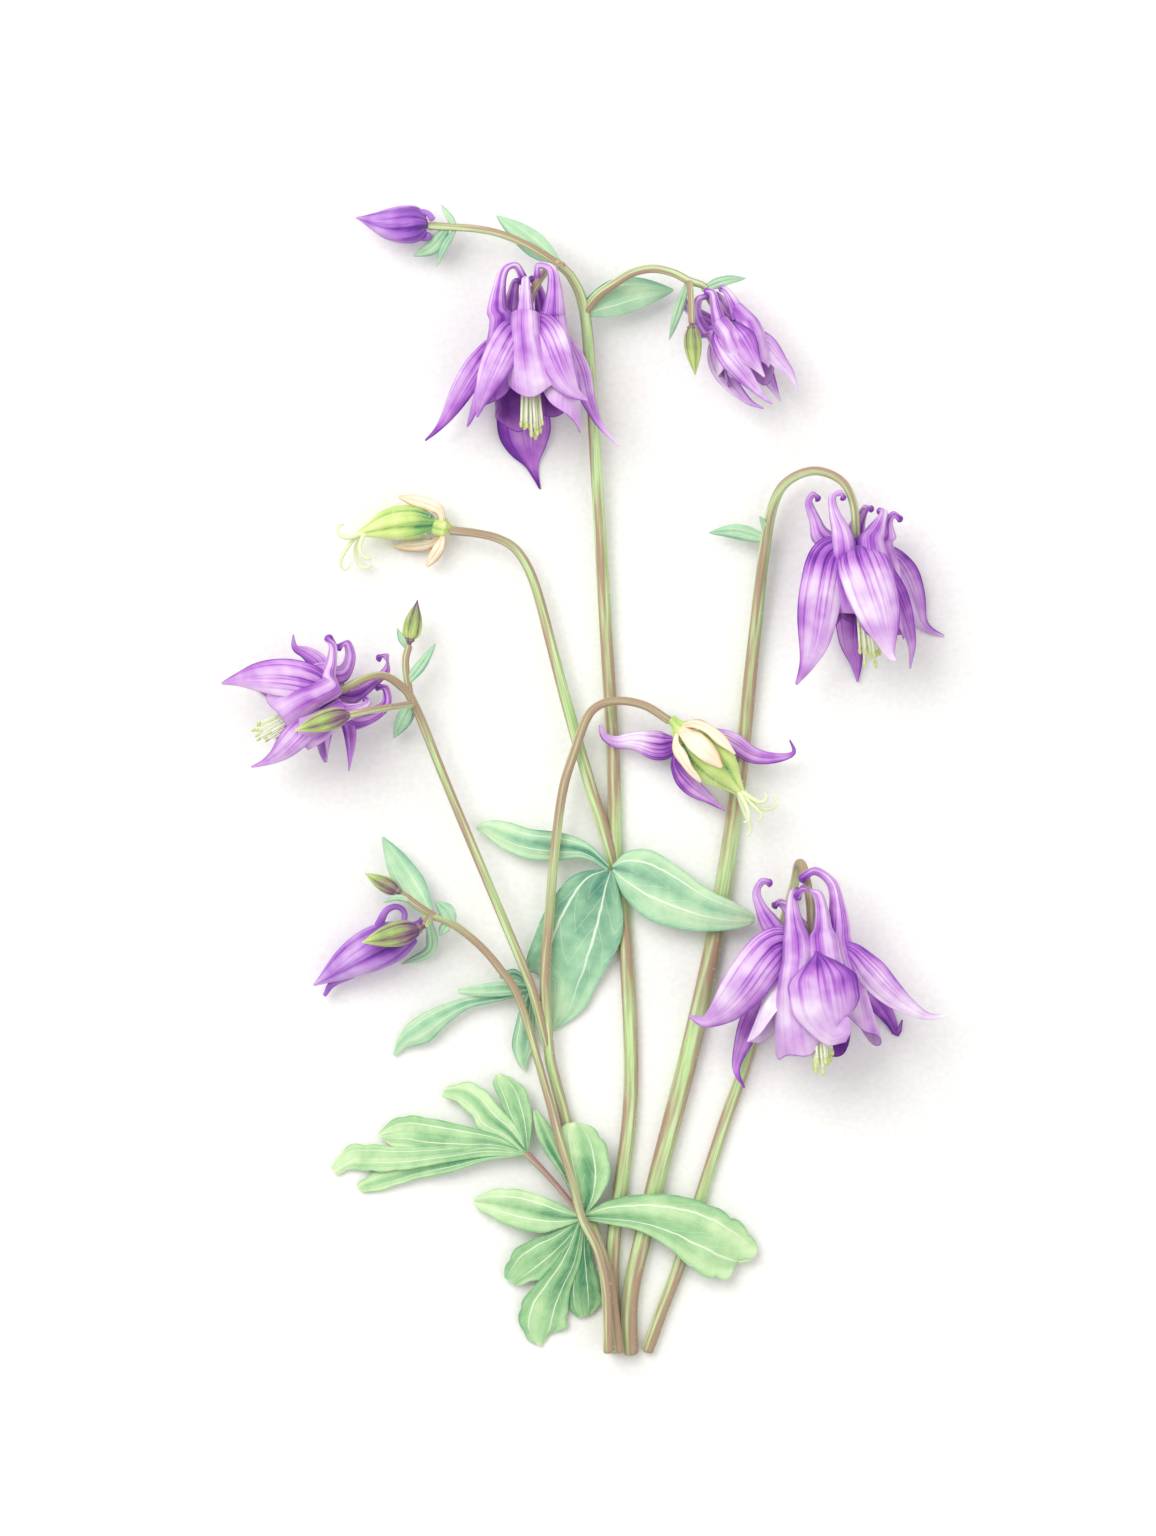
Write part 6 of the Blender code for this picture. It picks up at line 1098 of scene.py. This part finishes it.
# Leaflets: tone, edge lift, midrib heights, rows of left edge, midrib and right edge
LEAFLETS = {
    "leaf_upper": [
        (0.45, -0.5, (4.8, 4.6, 4, 3.8, 3.4, 3, 2.6), [
            ((4.6, -16.4), (4.4, -17), (4, -17.6)), ((0.4, -12.2), (0, -13.8), (-0.6, -15.2)),
            ((-5, -10.1), (-5.6, -12.8), (-6, -15.7)), ((-11, -9.4), (-11.4, -12), (-12, -15.3)),
            ((-16, -7.9), (-16.4, -10.4), (-17, -13.2)), ((-19.8, -7.8), (-19.6, -9), (-19.8, -10.8)),
            ((-22, -8.9), (-21.9, -9.3), (-21.6, -9.7))]),
        (0.5, 0, (4.8, 4.4, 3.6, 3, 2.4, 1.8, 1.2, 0.7), [
            ((3.8, -17.2), (4.6, -17.8), (5.4, -17.6)), ((-2.6, -18.6), (2.2, -21), (6.6, -22)),
            ((-7.4, -24.4), (0, -26), (7.4, -27)), ((-10.4, -31), (-2, -31.6), (6.8, -32)),
            ((-12, -37.2), (-3, -37), (3.9, -37.4)), ((-8, -39), (-4, -41), (1.6, -41.6)),
            ((-7.6, -44.4), (-5, -45), (-0.8, -45.8)), ((-7.2, -49.3), (-6.8, -49.9), (-6, -49.7))]),
        (0.42, -0.3, (4.8, 5.2, 5.4, 5.4, 5.4, 5.2, 4.6, 4.2), [
            ((5.2, -16.6), (5.4, -17.2), (5.4, -18)), ((8.4, -13.8), (8.2, -18), (7.4, -22.6)),
            ((13, -13.6), (13, -20), (11.6, -27)), ((18.6, -17), (18.4, -22.6), (17, -29)),
            ((24, -21.1), (23.6, -25), (23, -29.8)), ((29, -23.7), (29, -26.6), (28.8, -29.5)),
            ((32.8, -25.8), (32.8, -27.2), (32.4, -28.7)),
            ((33.8, -26.9), (33.6, -27.5), (33.4, -28.1))]),
    ],
    "leaf_mid": [
        (0.5, -0.3, (3.6, 4, 4, 3.2), [
            ((-11.2, -40.6), (-11.2, -41.2), (-11.2, -41.8)),
            ((-14.4, -39.8), (-14.4, -41.2), (-14.4, -42.6)),
            ((-20, -40.2), (-20, -41.5), (-20, -42.9)),
            ((-25.6, -41.3), (-25.6, -41.8), (-25.4, -42.3))]),
        (0.45, -0.4, (3.4, 3, 3, 2.8, 2.4, 1.6, 0.8), [
            ((-11.2, -41.2), (-11.2, -41.7), (-11.2, -42.2)),
            ((-17, -42.5), (-17, -43.1), (-17, -43.7)), ((-24, -43.1), (-23.6, -44.2), (-23.4, -45.3)),
            ((-30, -45), (-29, -46.8), (-28, -48.6)), ((-35, -47.8), (-33.4, -49.8), (-31.4, -51.9)),
            ((-37.4, -51), (-36.6, -52), (-35.4, -53)),
            ((-38.6, -54.4), (-38.2, -54.8), (-37.8, -54.5))]),
        (0.55, -0.4, (3.4, 3.2, 2.6, 2, 1.6, 1.2), [
            ((-11.6, -41.4), (-11, -41.8), (-10.5, -41.4)),
            ((-13, -44.6), (-11.8, -45), (-10.2, -44.6)), ((-14.2, -49), (-12.2, -49.4), (-10.2, -49)),
            ((-14.8, -52.6), (-12.6, -53), (-10.2, -52.4)),
            ((-13.9, -55.6), (-12.7, -55.6), (-11.5, -55)),
            ((-12.8, -57.3), (-12.3, -57.5), (-11.9, -57.1))]),
        (0.7, 0, (3.6, 3.2, 2.4), [
            ((-10.8, -40.6), (-10.8, -41), (-10.8, -41.5)), ((-14, -37.4), (-14, -38.4), (-14, -39.4)),
            ((-17.2, -38.2), (-17.3, -38.7), (-17.1, -39.3))]),
    ],
    "leaf_basal": [
        (0.45, 0, (4.5, 4.6, 4.8, 4.7, 4.2, 3.4, 2.6, 2.4, 2), [
            ((0, -86), (0, -86.6), (0, -87.4)), ((4.4, -83.6), (5, -86.6), (5, -88.4)),
            ((10, -82.4), (11, -87), (10.6, -89.6)), ((17, -82.3), (17.6, -88.2), (16, -92.6)),
            ((23.6, -84), (23.6, -90), (21.4, -97.2)), ((29, -86.8), (28, -92.4), (25.8, -99.2)),
            ((31.8, -89.2), (30.4, -94), (29, -98.6)), ((33.2, -91), (31.6, -94.6), (28.8, -96.4)),
            ((34.4, -93.2), (33.8, -94.6), (32.6, -95.8))]),
        (0.35, 0.3, (4.5, 4.2, 3.6, 3, 2.2, 1.6, 1.4), [
            ((-1.2, -86.5), (-1.2, -87.1), (-1.2, -87.7)), ((-4.6, -84.6), (-5, -87), (-5, -89)),
            ((-9, -82.6), (-9.4, -86.2), (-9, -90)), ((-14, -81.3), (-14, -85.2), (-14.4, -89)),
            ((-18.6, -81.5), (-18.4, -84.4), (-18.6, -87)),
            ((-21.6, -82.8), (-21.4, -84), (-21.4, -85.4)),
            ((-22.3, -83.5), (-22.4, -84), (-22.2, -84.4))]),
        (0.55, 0, (4.4, 3.6, 2.6, 2, 1.6, 1.4), [
            ((-1.6, -87.2), (-1.2, -87.8), (-0.8, -88.4)), ((-6, -89.7), (-5, -91.4), (-3.6, -93)),
            ((-10.4, -91.2), (-8.4, -94), (-6.6, -97)), ((-14, -93.4), (-11.6, -96.4), (-9.4, -99.6)),
            ((-15.9, -96.6), (-13.6, -98.4), (-11.2, -99.7)),
            ((-16.3, -99), (-15, -100.2), (-13.4, -100.7))]),
        (0.5, 0, (4.4, 3.2, 2.2, 1.6, 1, 0.6, 0.45), [
            ((-1.6, -87.6), (-1, -88), (-0.4, -87.8)), ((-5.6, -95), (-3, -95.6), (-1, -95.2)),
            ((-9.8, -100), (-6, -101.4), (-3, -101.2)), ((-12.8, -104), (-8, -105.6), (-3.7, -105.6)),
            ((-13.2, -108), (-9, -109), (-4.2, -109)), ((-11.6, -111.4), (-9.3, -111.6), (-7, -110.2)),
            ((-9.8, -112.5), (-9.2, -112.8), (-8.6, -112.3))]),
        (0.7, 0, (4.4, 2.9, 2, 1.4, 1), [
            ((-1.2, -87.6), (-0.7, -87.8), (-0.2, -87.4)), ((-2.6, -95), (-1, -95), (1, -94)),
            ((-3.6, -100.6), (-1, -100.6), (2.4, -99.6)),
            ((-3.4, -104.6), (-0.8, -104.4), (3.1, -103.4)),
            ((-1.8, -107), (-0.4, -106.9), (1.4, -106.2))]),
        (0.6, 0, (4.5, 4.3, 4.2, 4.1, 4, 4), [
            ((-1, -86.4), (-0.5, -86.6), (0, -86.4)), ((-2.8, -81.6), (0.4, -82.6), (3, -82.6)),
            ((-4.6, -76.4), (0.2, -78), (4.8, -78.4)), ((-5.6, -72), (-0.4, -73.4), (3.9, -72.6)),
            ((-5, -68.8), (-1.4, -70), (1.6, -69.3)), ((-3.2, -68), (-2, -68), (-0.9, -68))]),
        (0.75, 0, (4.5, 4.2, 3.9, 3.7, 3.6), [
            ((-1.4, -86.4), (-1, -86.2), (-0.6, -86)), ((-4.4, -79.4), (-3.8, -79), (-3, -78.4)),
            ((-8.4, -73.6), (-7, -73), (-5.4, -72.4)), ((-10.2, -69), (-8.8, -68.8), (-7.2, -68.6)),
            ((-10.6, -65.8), (-10.1, -65.4), (-9.5, -65.8))]),
        (0.4, 0, (3.6, 3.6, 3.2, 2.6, 2.2, 1.8, 1.6), [
            ((-11.4, -73.4), (-11.6, -74), (-11.8, -74.6)), ((-18, -70.4), (-18, -72), (-18, -73.4)),
            ((-24, -68.7), (-24, -71.4), (-24.4, -74)), ((-31, -67.2), (-31, -70.6), (-30.6, -74.4)),
            ((-36.6, -66.8), (-36, -70), (-36, -73.6)),
            ((-40.2, -68.8), (-39.6, -70.4), (-38.6, -72.8)),
            ((-41.4, -70.2), (-41.2, -70.8), (-40.7, -71.4))]),
        (0.35, 0, (3.6, 3.4, 3, 2.4, 1.6, 1, 0.6), [
            ((-11.6, -73.4), (-11.8, -74), (-12, -74.6)), ((-20, -72), (-20, -73.2), (-20, -74.8)),
            ((-28, -72.6), (-28, -74.2), (-28, -76)), ((-36, -73), (-36, -75), (-36, -77.4)),
            ((-43, -72.5), (-43, -75.2), (-43, -77.8)), ((-47.6, -72.9), (-47, -75.6), (-46.6, -77.4)),
            ((-50.9, -77), (-50.5, -77.9), (-49.8, -78.7))]),
        (0.5, 0, (3.6, 3.2, 2.6, 1.8, 1.2, 0.8, 0.6), [
            ((-11.8, -73.6), (-12, -74.1), (-12.2, -74.6)), ((-20, -73.8), (-20, -74.8), (-20, -75.7)),
            ((-27, -74.6), (-27, -76.2), (-27, -78)), ((-34, -76), (-34, -77.8), (-33.6, -79.3)),
            ((-40, -77.2), (-39.4, -79.4), (-39, -81)), ((-44.6, -79.4), (-43.8, -80.6), (-43, -82)),
            ((-45.8, -80.6), (-45.5, -81.2), (-45, -81.9))]),
        (0.6, 0, (3.6, 3.8, 3.6, 3.4, 3, 2.8), [
            ((-12.4, -73.6), (-11.9, -74), (-11.4, -73.6)),
            ((-14, -69.8), (-12.6, -70), (-10.9, -69.8)), ((-16.2, -66), (-13.8, -66), (-10.9, -66)),
            ((-17.6, -62.6), (-15, -62.4), (-12, -61.8)),
            ((-18.5, -59.8), (-16.4, -59.6), (-14.4, -59.3)),
            ((-18, -58.5), (-17.4, -58.2), (-16.8, -58.4))]),
        (0.5, 0, (3.6, 3.8, 3.4, 3, 2.4, 2), [
            ((-12.4, -74.2), (-12, -73.8), (-11.6, -73.2)),
            ((-17, -70.9), (-15.6, -69.8), (-14, -68.6)), ((-21.4, -69.4), (-19.2, -67), (-17.2, -65)),
            ((-23, -66.4), (-21.8, -63.8), (-20.4, -61.4)), ((-26, -64), (-24.8, -62), (-23.6, -60)),
            ((-28.8, -62.8), (-28.4, -61.8), (-27.6, -60.8))]),
    ],
}

# Curled styles at a pod's tip
STYLES = {
    "pod_left": [
        [(-44, 50, 4.6), (-46.6, 48.2, 4.8), (-48.6, 45.2, 4.6), (-49, 43.4, 4.2), (-48.2, 42.4, 4),
            (-47.2, 43, 4.2)],
        [(-44.2, 49.8, 4.2), (-46, 46.8, 3), (-45.6, 44, 2.4), (-44.2, 42.7, 2.4),
            (-42.8, 43.3, 2.6)],
        [(-44.2, 49.8, 5), (-45.2, 46.6, 6.2), (-43.9, 44.6, 6.6), (-42.9, 44.6, 6.4)],
        [(-44.4, 49.8, 4.8), (-47.6, 48.7, 6.4), (-49.5, 49.6, 6.8), (-49.2, 51.2, 6.6),
            (-48.3, 51.4, 6.4)],
    ],
    "pod_center": [
        [(30, -1.2, 9.2), (33, -3.2, 10.2), (34.8, -4, 10.6), (36, -3.2, 10.6), (35.6, -2.2, 10.4)],
        [(30, -1.2, 9), (34, -4.8, 8.6), (36.6, -5.4, 8.6), (38, -4.2, 8.8), (37.6, -2.6, 8.8)],
        [(30, -1.2, 9.2), (33, -4.4, 9.8), (34.9, -6.4, 9.4), (34.5, -7.9, 9)],
        [(30, -1.2, 9.4), (32, -5, 10.8), (32.4, -7.6, 10.6), (31.5, -8, 10.2)],
        [(30, -1.2, 9), (31.4, -5.6, 7.8), (32.9, -9.2, 7.2), (32.2, -10.7, 7)],
    ],
}

# Each group of flaps or sepals round a pod: piece, skin, slot, bend, ripple and its blades, with
# half width, outline, face, tones and points
FLAPS = {
    "staminodes_left": ("flaps_left", PAPER, "papery_cream", 30, 0.3, [
        (1.3, FLAP, UP, (0.6, 0.25, 0.55, 0.1), [(-28.6, 50.6, 5.4), (-29.8, 54.6, 6), (-37.4, 57, 5.4)]),
        (1.2, FLAP, UP, (0.6, 0.25, 0.55, 0.1), [(-28.8, 50, 4.6), (-31, 47.6, 3.4), (-38.4, 47, 1.6)]),
        (1.2, FLAP, UP, (0.6, 0.25, 0.55, 0.1), [(-28.6, 50, 5), (-29, 47.4, 5.2), (-31.8, 43, 4)]),
    ]),
    "staminodes_center": ("flaps_center", PAPER, "papery_cream", 36, 0.35, [
        (2.2, FLAP, UP, (0.3, 0.25, 0.5, 0.05), [
            (18.4, 11, 9.8), (20, 9.6, 13.2), (23.4, 6.6, 14.9), (27, 3, 14.5)]),
        (1.4, FLAP, (0.5, 0.5, 1), (0.3, 0.3, 0.6, 0.1), [
            (18.4, 11, 9.8), (21.6, 11.8, 13.2), (25.8, 9.8, 14), (29.6, 5.6, 13.2)]),
        (1.3, FLAP, (-0.5, -0.5, 1), (0.4, 0.2, 0.5, 0.1), [
            (18.4, 11, 9.6), (17.8, 7.4, 12), (19.8, 3.4, 12.6), (22.8, 0, 11.6)]),
    ]),
    "faded_sepals": ("faded_blades", PETAL, "petal_purple", 25, 0.4, [
        (3, FADED, UP, (0.85, 0.22, 0.3, -0.05), [
            (18.2, 8.2, 5.8), (15, 7.2, 5.2), (10, 8.2, 4.8), (6, 8, 4.8), (3.6, 9.2, 5.4),
            (2.9, 11.4, 6.4)]),
        (2, SEPAL, UP, (0.85, 0.5, 0.5, -0.05), [
            (18.2, 8.2, 5.6), (18, 3.4, 4.8), (20.8, -0.6, 4.4), (24.6, -3.4, 4.4), (27.8, -5.8, 4.6)]),
        (1.9, SEPAL, UP, (0.85, 0.5, 0.75, -0.05), [
            (18.2, 8.2, 5.4), (22.6, 9.8, 4), (28, 8.8, 5.2), (33.2, 5.4, 6), (38, 4.8, 6.4),
            (41.4, 5.8, 7.4), (40.6, 8.4, 8)]),
    ]),
}

# Each pod: base, tip, radius and bow, then base, tip and radius of the ring at its foot
PODS = {
    "pod_left": ((-30.4, 51.6, 4.4), (-45.6, 49.5, 4.6), 3.3, (0, 1, 0),
                 (-26.2, 50.2, 4.3), (-30.6, 51.3, 4.4), 1.9),
    "pod_center": ((20.2, 9.2, 9), (31.2, -2.4, 9.2), 4.2, (0.2, 0.3, 0),
                   (16.9, 12.7, 9), (21, 8.4, 9), 2.2),
}

# Each bud: base, tip, radius, profile, fold depth, tones, bow, skin, slot
BUDS = {
    "bud_top": ((-31.9, 111.2, 6.6), (-45.9, 112.6, 5.8), 3.75, FAT_BUD, 0.06, (0.62, 0.42, 0.3),
                (0, -0.7, 0), BUD_VIOLET, "bud_purple"),
    "bud_left": ((-34.4, -30.2, 4.9), (-54.4, -40.6, 4.2), 4.4, BUD, 0.07, (0.7, 0.4, 0.2),
                 (-0.8, 0.6, 0), BUD_VIOLET, "bud_purple"),
    "bud_left_over": ((-33.4, -29.4, 11.7), (-44.6, -31.9, 12), 2.45, BUD, 0.14, (0.85, 0.5, 0.15),
                      (0, 0, 0), BUD_GREEN, "bud_green"),
    "bud_left_small": ((-37.6, -21.9, 7), (-44.1, -18.2, 6.2), 1.6, BUD, 0.1, (0.75, 0.4, 0.1),
                       (0, 0, 0), BUD_GREEN, "bud_green"),
    "bud_side": ((21.1, 90.6, 15.4), (21.7, 80.9, 14.8), 1.75, BUD, 0.12, (0.55, 0.35, 0.3),
                 (0, 0, 0), BUD_GREEN, "bud_green"),
    "bud_upper": ((-35.2, 28.6, 7.6), (-33.6, 36.3, 7), 1.8, FAT_BUD, 0.16, (0.2, 0.5, 0.8),
                  (0, 0, 0), BUD_GREEN, "bud_purple"),
    "bud_front": ((-47.2, 13.4, 21.3), (-57.8, 10.2, 20.6), 2.1, BUD, 0.16, (0.8, 0.45, 0.2),
                  (0, 0, 0), BUD_GREEN, "bud_green"),
}
# Young spurs that stand out of the two large buds, through (x, y, z, radius) points
BUD_SPURS = {
    "bud_top": [[(-33.4, 113.6, 7.2, 0.8), (-31.6, 113.4, 7.6, 0.6), (-30.6, 112.2, 7.8, 0.7)],
                [(-33.4, 108.8, 6.4, 0.8), (-32, 108.4, 6.6, 0.6), (-31.3, 109.2, 7, 0.7)]],
    "bud_left": [[(-41.4, -28.6, 5.4, 0.9), (-39.8, -25.6, 5.6, 0.7), (-37.6, -24.9, 5.6, 0.6),
                  (-36.2, -26.4, 5.6, 0.6), (-37, -30.6, 5.2, 0.7)],
                 [(-47, -38, 4.4, 1.4), (-50.6, -40.2, 3.6, 0.8), (-52.2, -42.6, 3.2, 0.4)]],
}

# How far a bloom's stamens reach from its receptacle
REACH = {"top": 24.0, "right": 24.8, "low": 26.8, "left": 18.2}


# The spray

# Half widths of sepals, in millimetres, from which their outline changes
WIDE, VERY_WIDE, WIDEST = 3.4, 5.4, 7
CLAW_DARK = 0.38            # share of the widest sepal's length that its dark claw takes


def sepal_outline(half, bend):
    """Narrow sepals taper both ways, wide ones are broad from the base or, behind the bloom,
    widest near the tip, and the widest of all stands on a claw."""
    if half > WIDEST:
        return CLAWED
    if half < WIDE:
        return SEPAL
    return BROAD if half < VERY_WIDE or bend > 0 else DROP


def make_blooms():
    for name, bloom in BLOOMS.items():
        piece = Piece()
        receptacle(piece, bloom)
        for half, bend, face, tones, points in SEPALS[name]:
            outline = sepal_outline(half, bend)
            dark_to = CLAW_DARK if outline is CLAWED else BASE_DARK
            strip(piece, [bloom.centre, *points], half, outline, bend, face, tones, dark_to=dark_to)
        for azimuth, lip, tone, spur in PETALS[name]:
            petal(piece, bloom, azimuth, lip, spur, tone)
        dress(piece.make("petals_" + name, PETAL), "petal_purple", "bloom_" + name)


THREADS = 13                # real blooms have about fifty, and this many look like the picture's
GOLDEN = 137.5              # degrees from each thread to the next round the bloom
COLUMN = 1.9                # mm by which the outermost ends stand further out than the first


def make_stamens():
    """Threads start round the receptacle's end and hang out of the mouth in a loose column, the
    middle ones furthest. A thread of the tree is 10 mm long, so its size is its length over 10."""
    for name, reach in REACH.items():
        bloom = BLOOMS[name]
        start = 1.6 * bloom.size
        roots, ways, sizes = [], [], []
        for k in range(THREADS):
            azimuth = GOLDEN * k
            far = 0.5 + COLUMN * math.sqrt((k + 0.5) / THREADS)
            end = reach * (0.995 - 0.16 * (far / (0.5 + COLUMN)) ** 2 - 0.12 * chance.random())
            root = bloom.place(azimuth, 0.4 * far, start)
            way = bloom.place(azimuth, far, end) - root
            roots.append(root * MM)
            ways.append(way.normalized())
            sizes.append(way.length / 10)
        mesh = bpy.data.meshes.new("roots")
        mesh.from_pydata(roots, [], [])
        way = mesh.attributes.new("way", "FLOAT_VECTOR", "POINT")
        way.data.foreach_set("vector", np.array(ways, np.float32).reshape(-1))
        size = mesh.attributes.new("size", "FLOAT", "POINT")
        size.data.foreach_set("value", np.array(sizes, np.float32))
        made = grown(in_scene("roots", mesh), STAMENS, "threads_" + name, Finish=STAMEN)
        dress(made, "stamen_yellow", "stamens_" + name)


# Hairs to a square metre and their length in metres
STEM_DOWN = (180000.0, 0.0005)
POD_DOWN = (900000.0, 0.00055)


def downy(source, name, slot, density, length):
    """Short hairs over a copy of a finished piece."""
    copy = in_scene(name + "_skin", source.data.copy())
    made = grown(copy, HAIRS, name, Density=density, Length=length, Seed=len(name), Finish=DOWN)
    dress(made, slot)


def make_stems():
    for node in ("stem_main", "stem_tall_right", "stem_low_right", "stem_left", "stem_bud"):
        parts = [stalks(node + "_stalks", STALKS_OF[node], STEM)]
        if node in BRACTS:
            piece = Piece()
            for *points, half in BRACTS[node]:
                strip(piece, points, half, BRACT, 25, UP, (0.4, 0.3, 0.45, 0.05), rows=26, columns=18,
                      ripple=0.15, rim=0.15)
            parts.append(piece.make(node + "_bracts", BRACT_SKIN))
        made = merged(node + "_fine", *parts)
        dress(made, "stem_green", node)
        downy(made, node + "_down", "stem_green", *STEM_DOWN)


def make_leaves():
    for node, skin, toothed in (("leaf_upper", LEAF_BLUE, 0.03), ("leaf_mid", LEAF_BLUE, 0.03),
                                ("leaf_basal", LEAF_FRESH, 0.18)):
        piece = Piece()
        for tone, lift, heights, rows in LEAFLETS[node]:
            leaflet(piece, rows, heights, lift, tone, toothed)
        made = piece.make(node + "_blades", skin)
        if node in STALKS_OF:
            made = merged(node + "_fine", made, stalks(node + "_stalks", STALKS_OF[node], LEAF_STALK))
        dress(made, "leaf_green", node)


def make_pods():
    """Each pod with the ring at its foot, its curled styles and its down."""
    for node, (base, tip, radius, bow, foot, top, wide) in PODS.items():
        piece = Piece()
        spindle(piece, base, tip, radius, POD_FORM, 0.14, (0.8, 0.28, 0.35), bow, seam=0.5)
        spindle(piece, foot, top, wide, RING, 0.08, (0.5, 0.3, 0.5))
        lines = []
        for points in STYLES[node]:
            last = len(points) - 1
            lines.append([(*p, 0.5 - 0.26 * k / last) for k, p in enumerate(points)])
        made = merged(node + "_fine", piece.make(node + "_follicles", POD),
                      stalks(node + "_styles", lines, STAMEN, tone=0.35, step=0.4, sides=10))
        dress(made, "pod_green", node)
        downy(made, node + "_down", "pod_green", *POD_DOWN)


def make_flaps():
    for node, (name, skin, slot, bend, ripple, blades) in FLAPS.items():
        piece = Piece()
        for half, outline, face, tones, points in blades:
            strip(piece, points, half, outline, bend, face, tones, ripple=ripple)
        dress(piece.make(name, skin), slot, node)


def make_buds():
    """Each bud with the short neck that joins it to the nearest stalk's end."""
    ends = [Vector(line[-1][:3]) for lines in STALKS_OF.values() for line in lines]
    for node, (base, tip, radius, profile, depth, tones, bow, skin, slot) in BUDS.items():
        piece = Piece()
        spindle(piece, base, tip, radius, profile, depth, tones, bow)
        base, tip = Vector(base), Vector(tip)
        end = min(ends, key=lambda spot: (spot - base).length)
        inside = base + (tip - base).normalized() * 0.9
        spindle(piece, end, inside, 0.8 + 0.12 * radius, RING, 0.05, (0.8, 0.6, 0.8), sides=24, rings=20)
        made = piece.make(node + "_skin", skin)
        if node in BUD_SPURS:
            spurs = stalks(node + "_spurs", BUD_SPURS[node], skin, tone=0.55, step=0.4)
            made = merged(node + "_fine", made, spurs)
        dress(made, slot, node)


# The table, the light and the camera, in metres

EYE = (-0.0016, 0.0028, 2.4)            # over the middle of the picture
SEEN = 0.3072                           # length of the picture, on the table
SENSOR = 36.0                           # millimetres
SKY = 0.66                              # strength of the light from all round
# Each lamp's place, size and watts
LAMPS = {"key": ((-0.55, 0.55, 1.0), 0.9, 11.0), "fill": ((0.8, -0.2, 0.9), 1.2, 3.5)}


def make_stage():
    """A pale paper-white table, soft light from the upper left, and the camera straight above."""
    table = bpy.data.meshes.new("table")
    table.from_pydata([(-3, -3, 0), (3, -3, 0), (3, 3, 0), (-3, 3, 0)], [], [(0, 1, 2, 3)])
    made, tree, shader = finish_named("pale_paper", 0.9, Specular_IOR_Level=0.1)
    place = add(tree, "ShaderNodeTexCoord")
    grain = add(tree, "ShaderNodeTexNoise", {"Vector": place.outputs["Object"], "Scale": 900.0,
            "Detail": 3.0})
    shade = add(tree, "ShaderNodeValToRGB", {0: grain}, [(0.3, "#F1F0EC"), (0.7, "#F8F7F4")])
    feed(tree, shader.inputs["Base Color"], shade)
    table.materials.append(made)
    in_scene("table", table)
    world = bpy.data.worlds.new("studio")
    world.use_nodes = True
    world.node_tree.nodes["Background"].inputs["Color"].default_value = (1, 1, 1, 1)
    world.node_tree.nodes["Background"].inputs["Strength"].default_value = SKY
    bpy.context.scene.world = world
    for name, (where, size, power) in LAMPS.items():
        lamp = bpy.data.lights.new(name, "AREA")
        lamp.energy = power
        lamp.size = size
        light = in_scene(name, lamp)
        light.location = where
        light.rotation_euler = (-Vector(where)).to_track_quat("-Z", "Y").to_euler()
    camera = bpy.data.cameras.new("camera")
    camera.sensor_width = SENSOR
    camera.lens = SENSOR * EYE[2] / SEEN
    camera.clip_end = 20.0
    eye = in_scene("camera", camera)
    eye.location = EYE
    bpy.context.scene.camera = eye
    bpy.context.scene.view_settings.view_transform = "Standard"


make_stage()
make_blooms()
make_stamens()
make_stems()
make_leaves()
make_pods()
make_flaps()
make_buds()
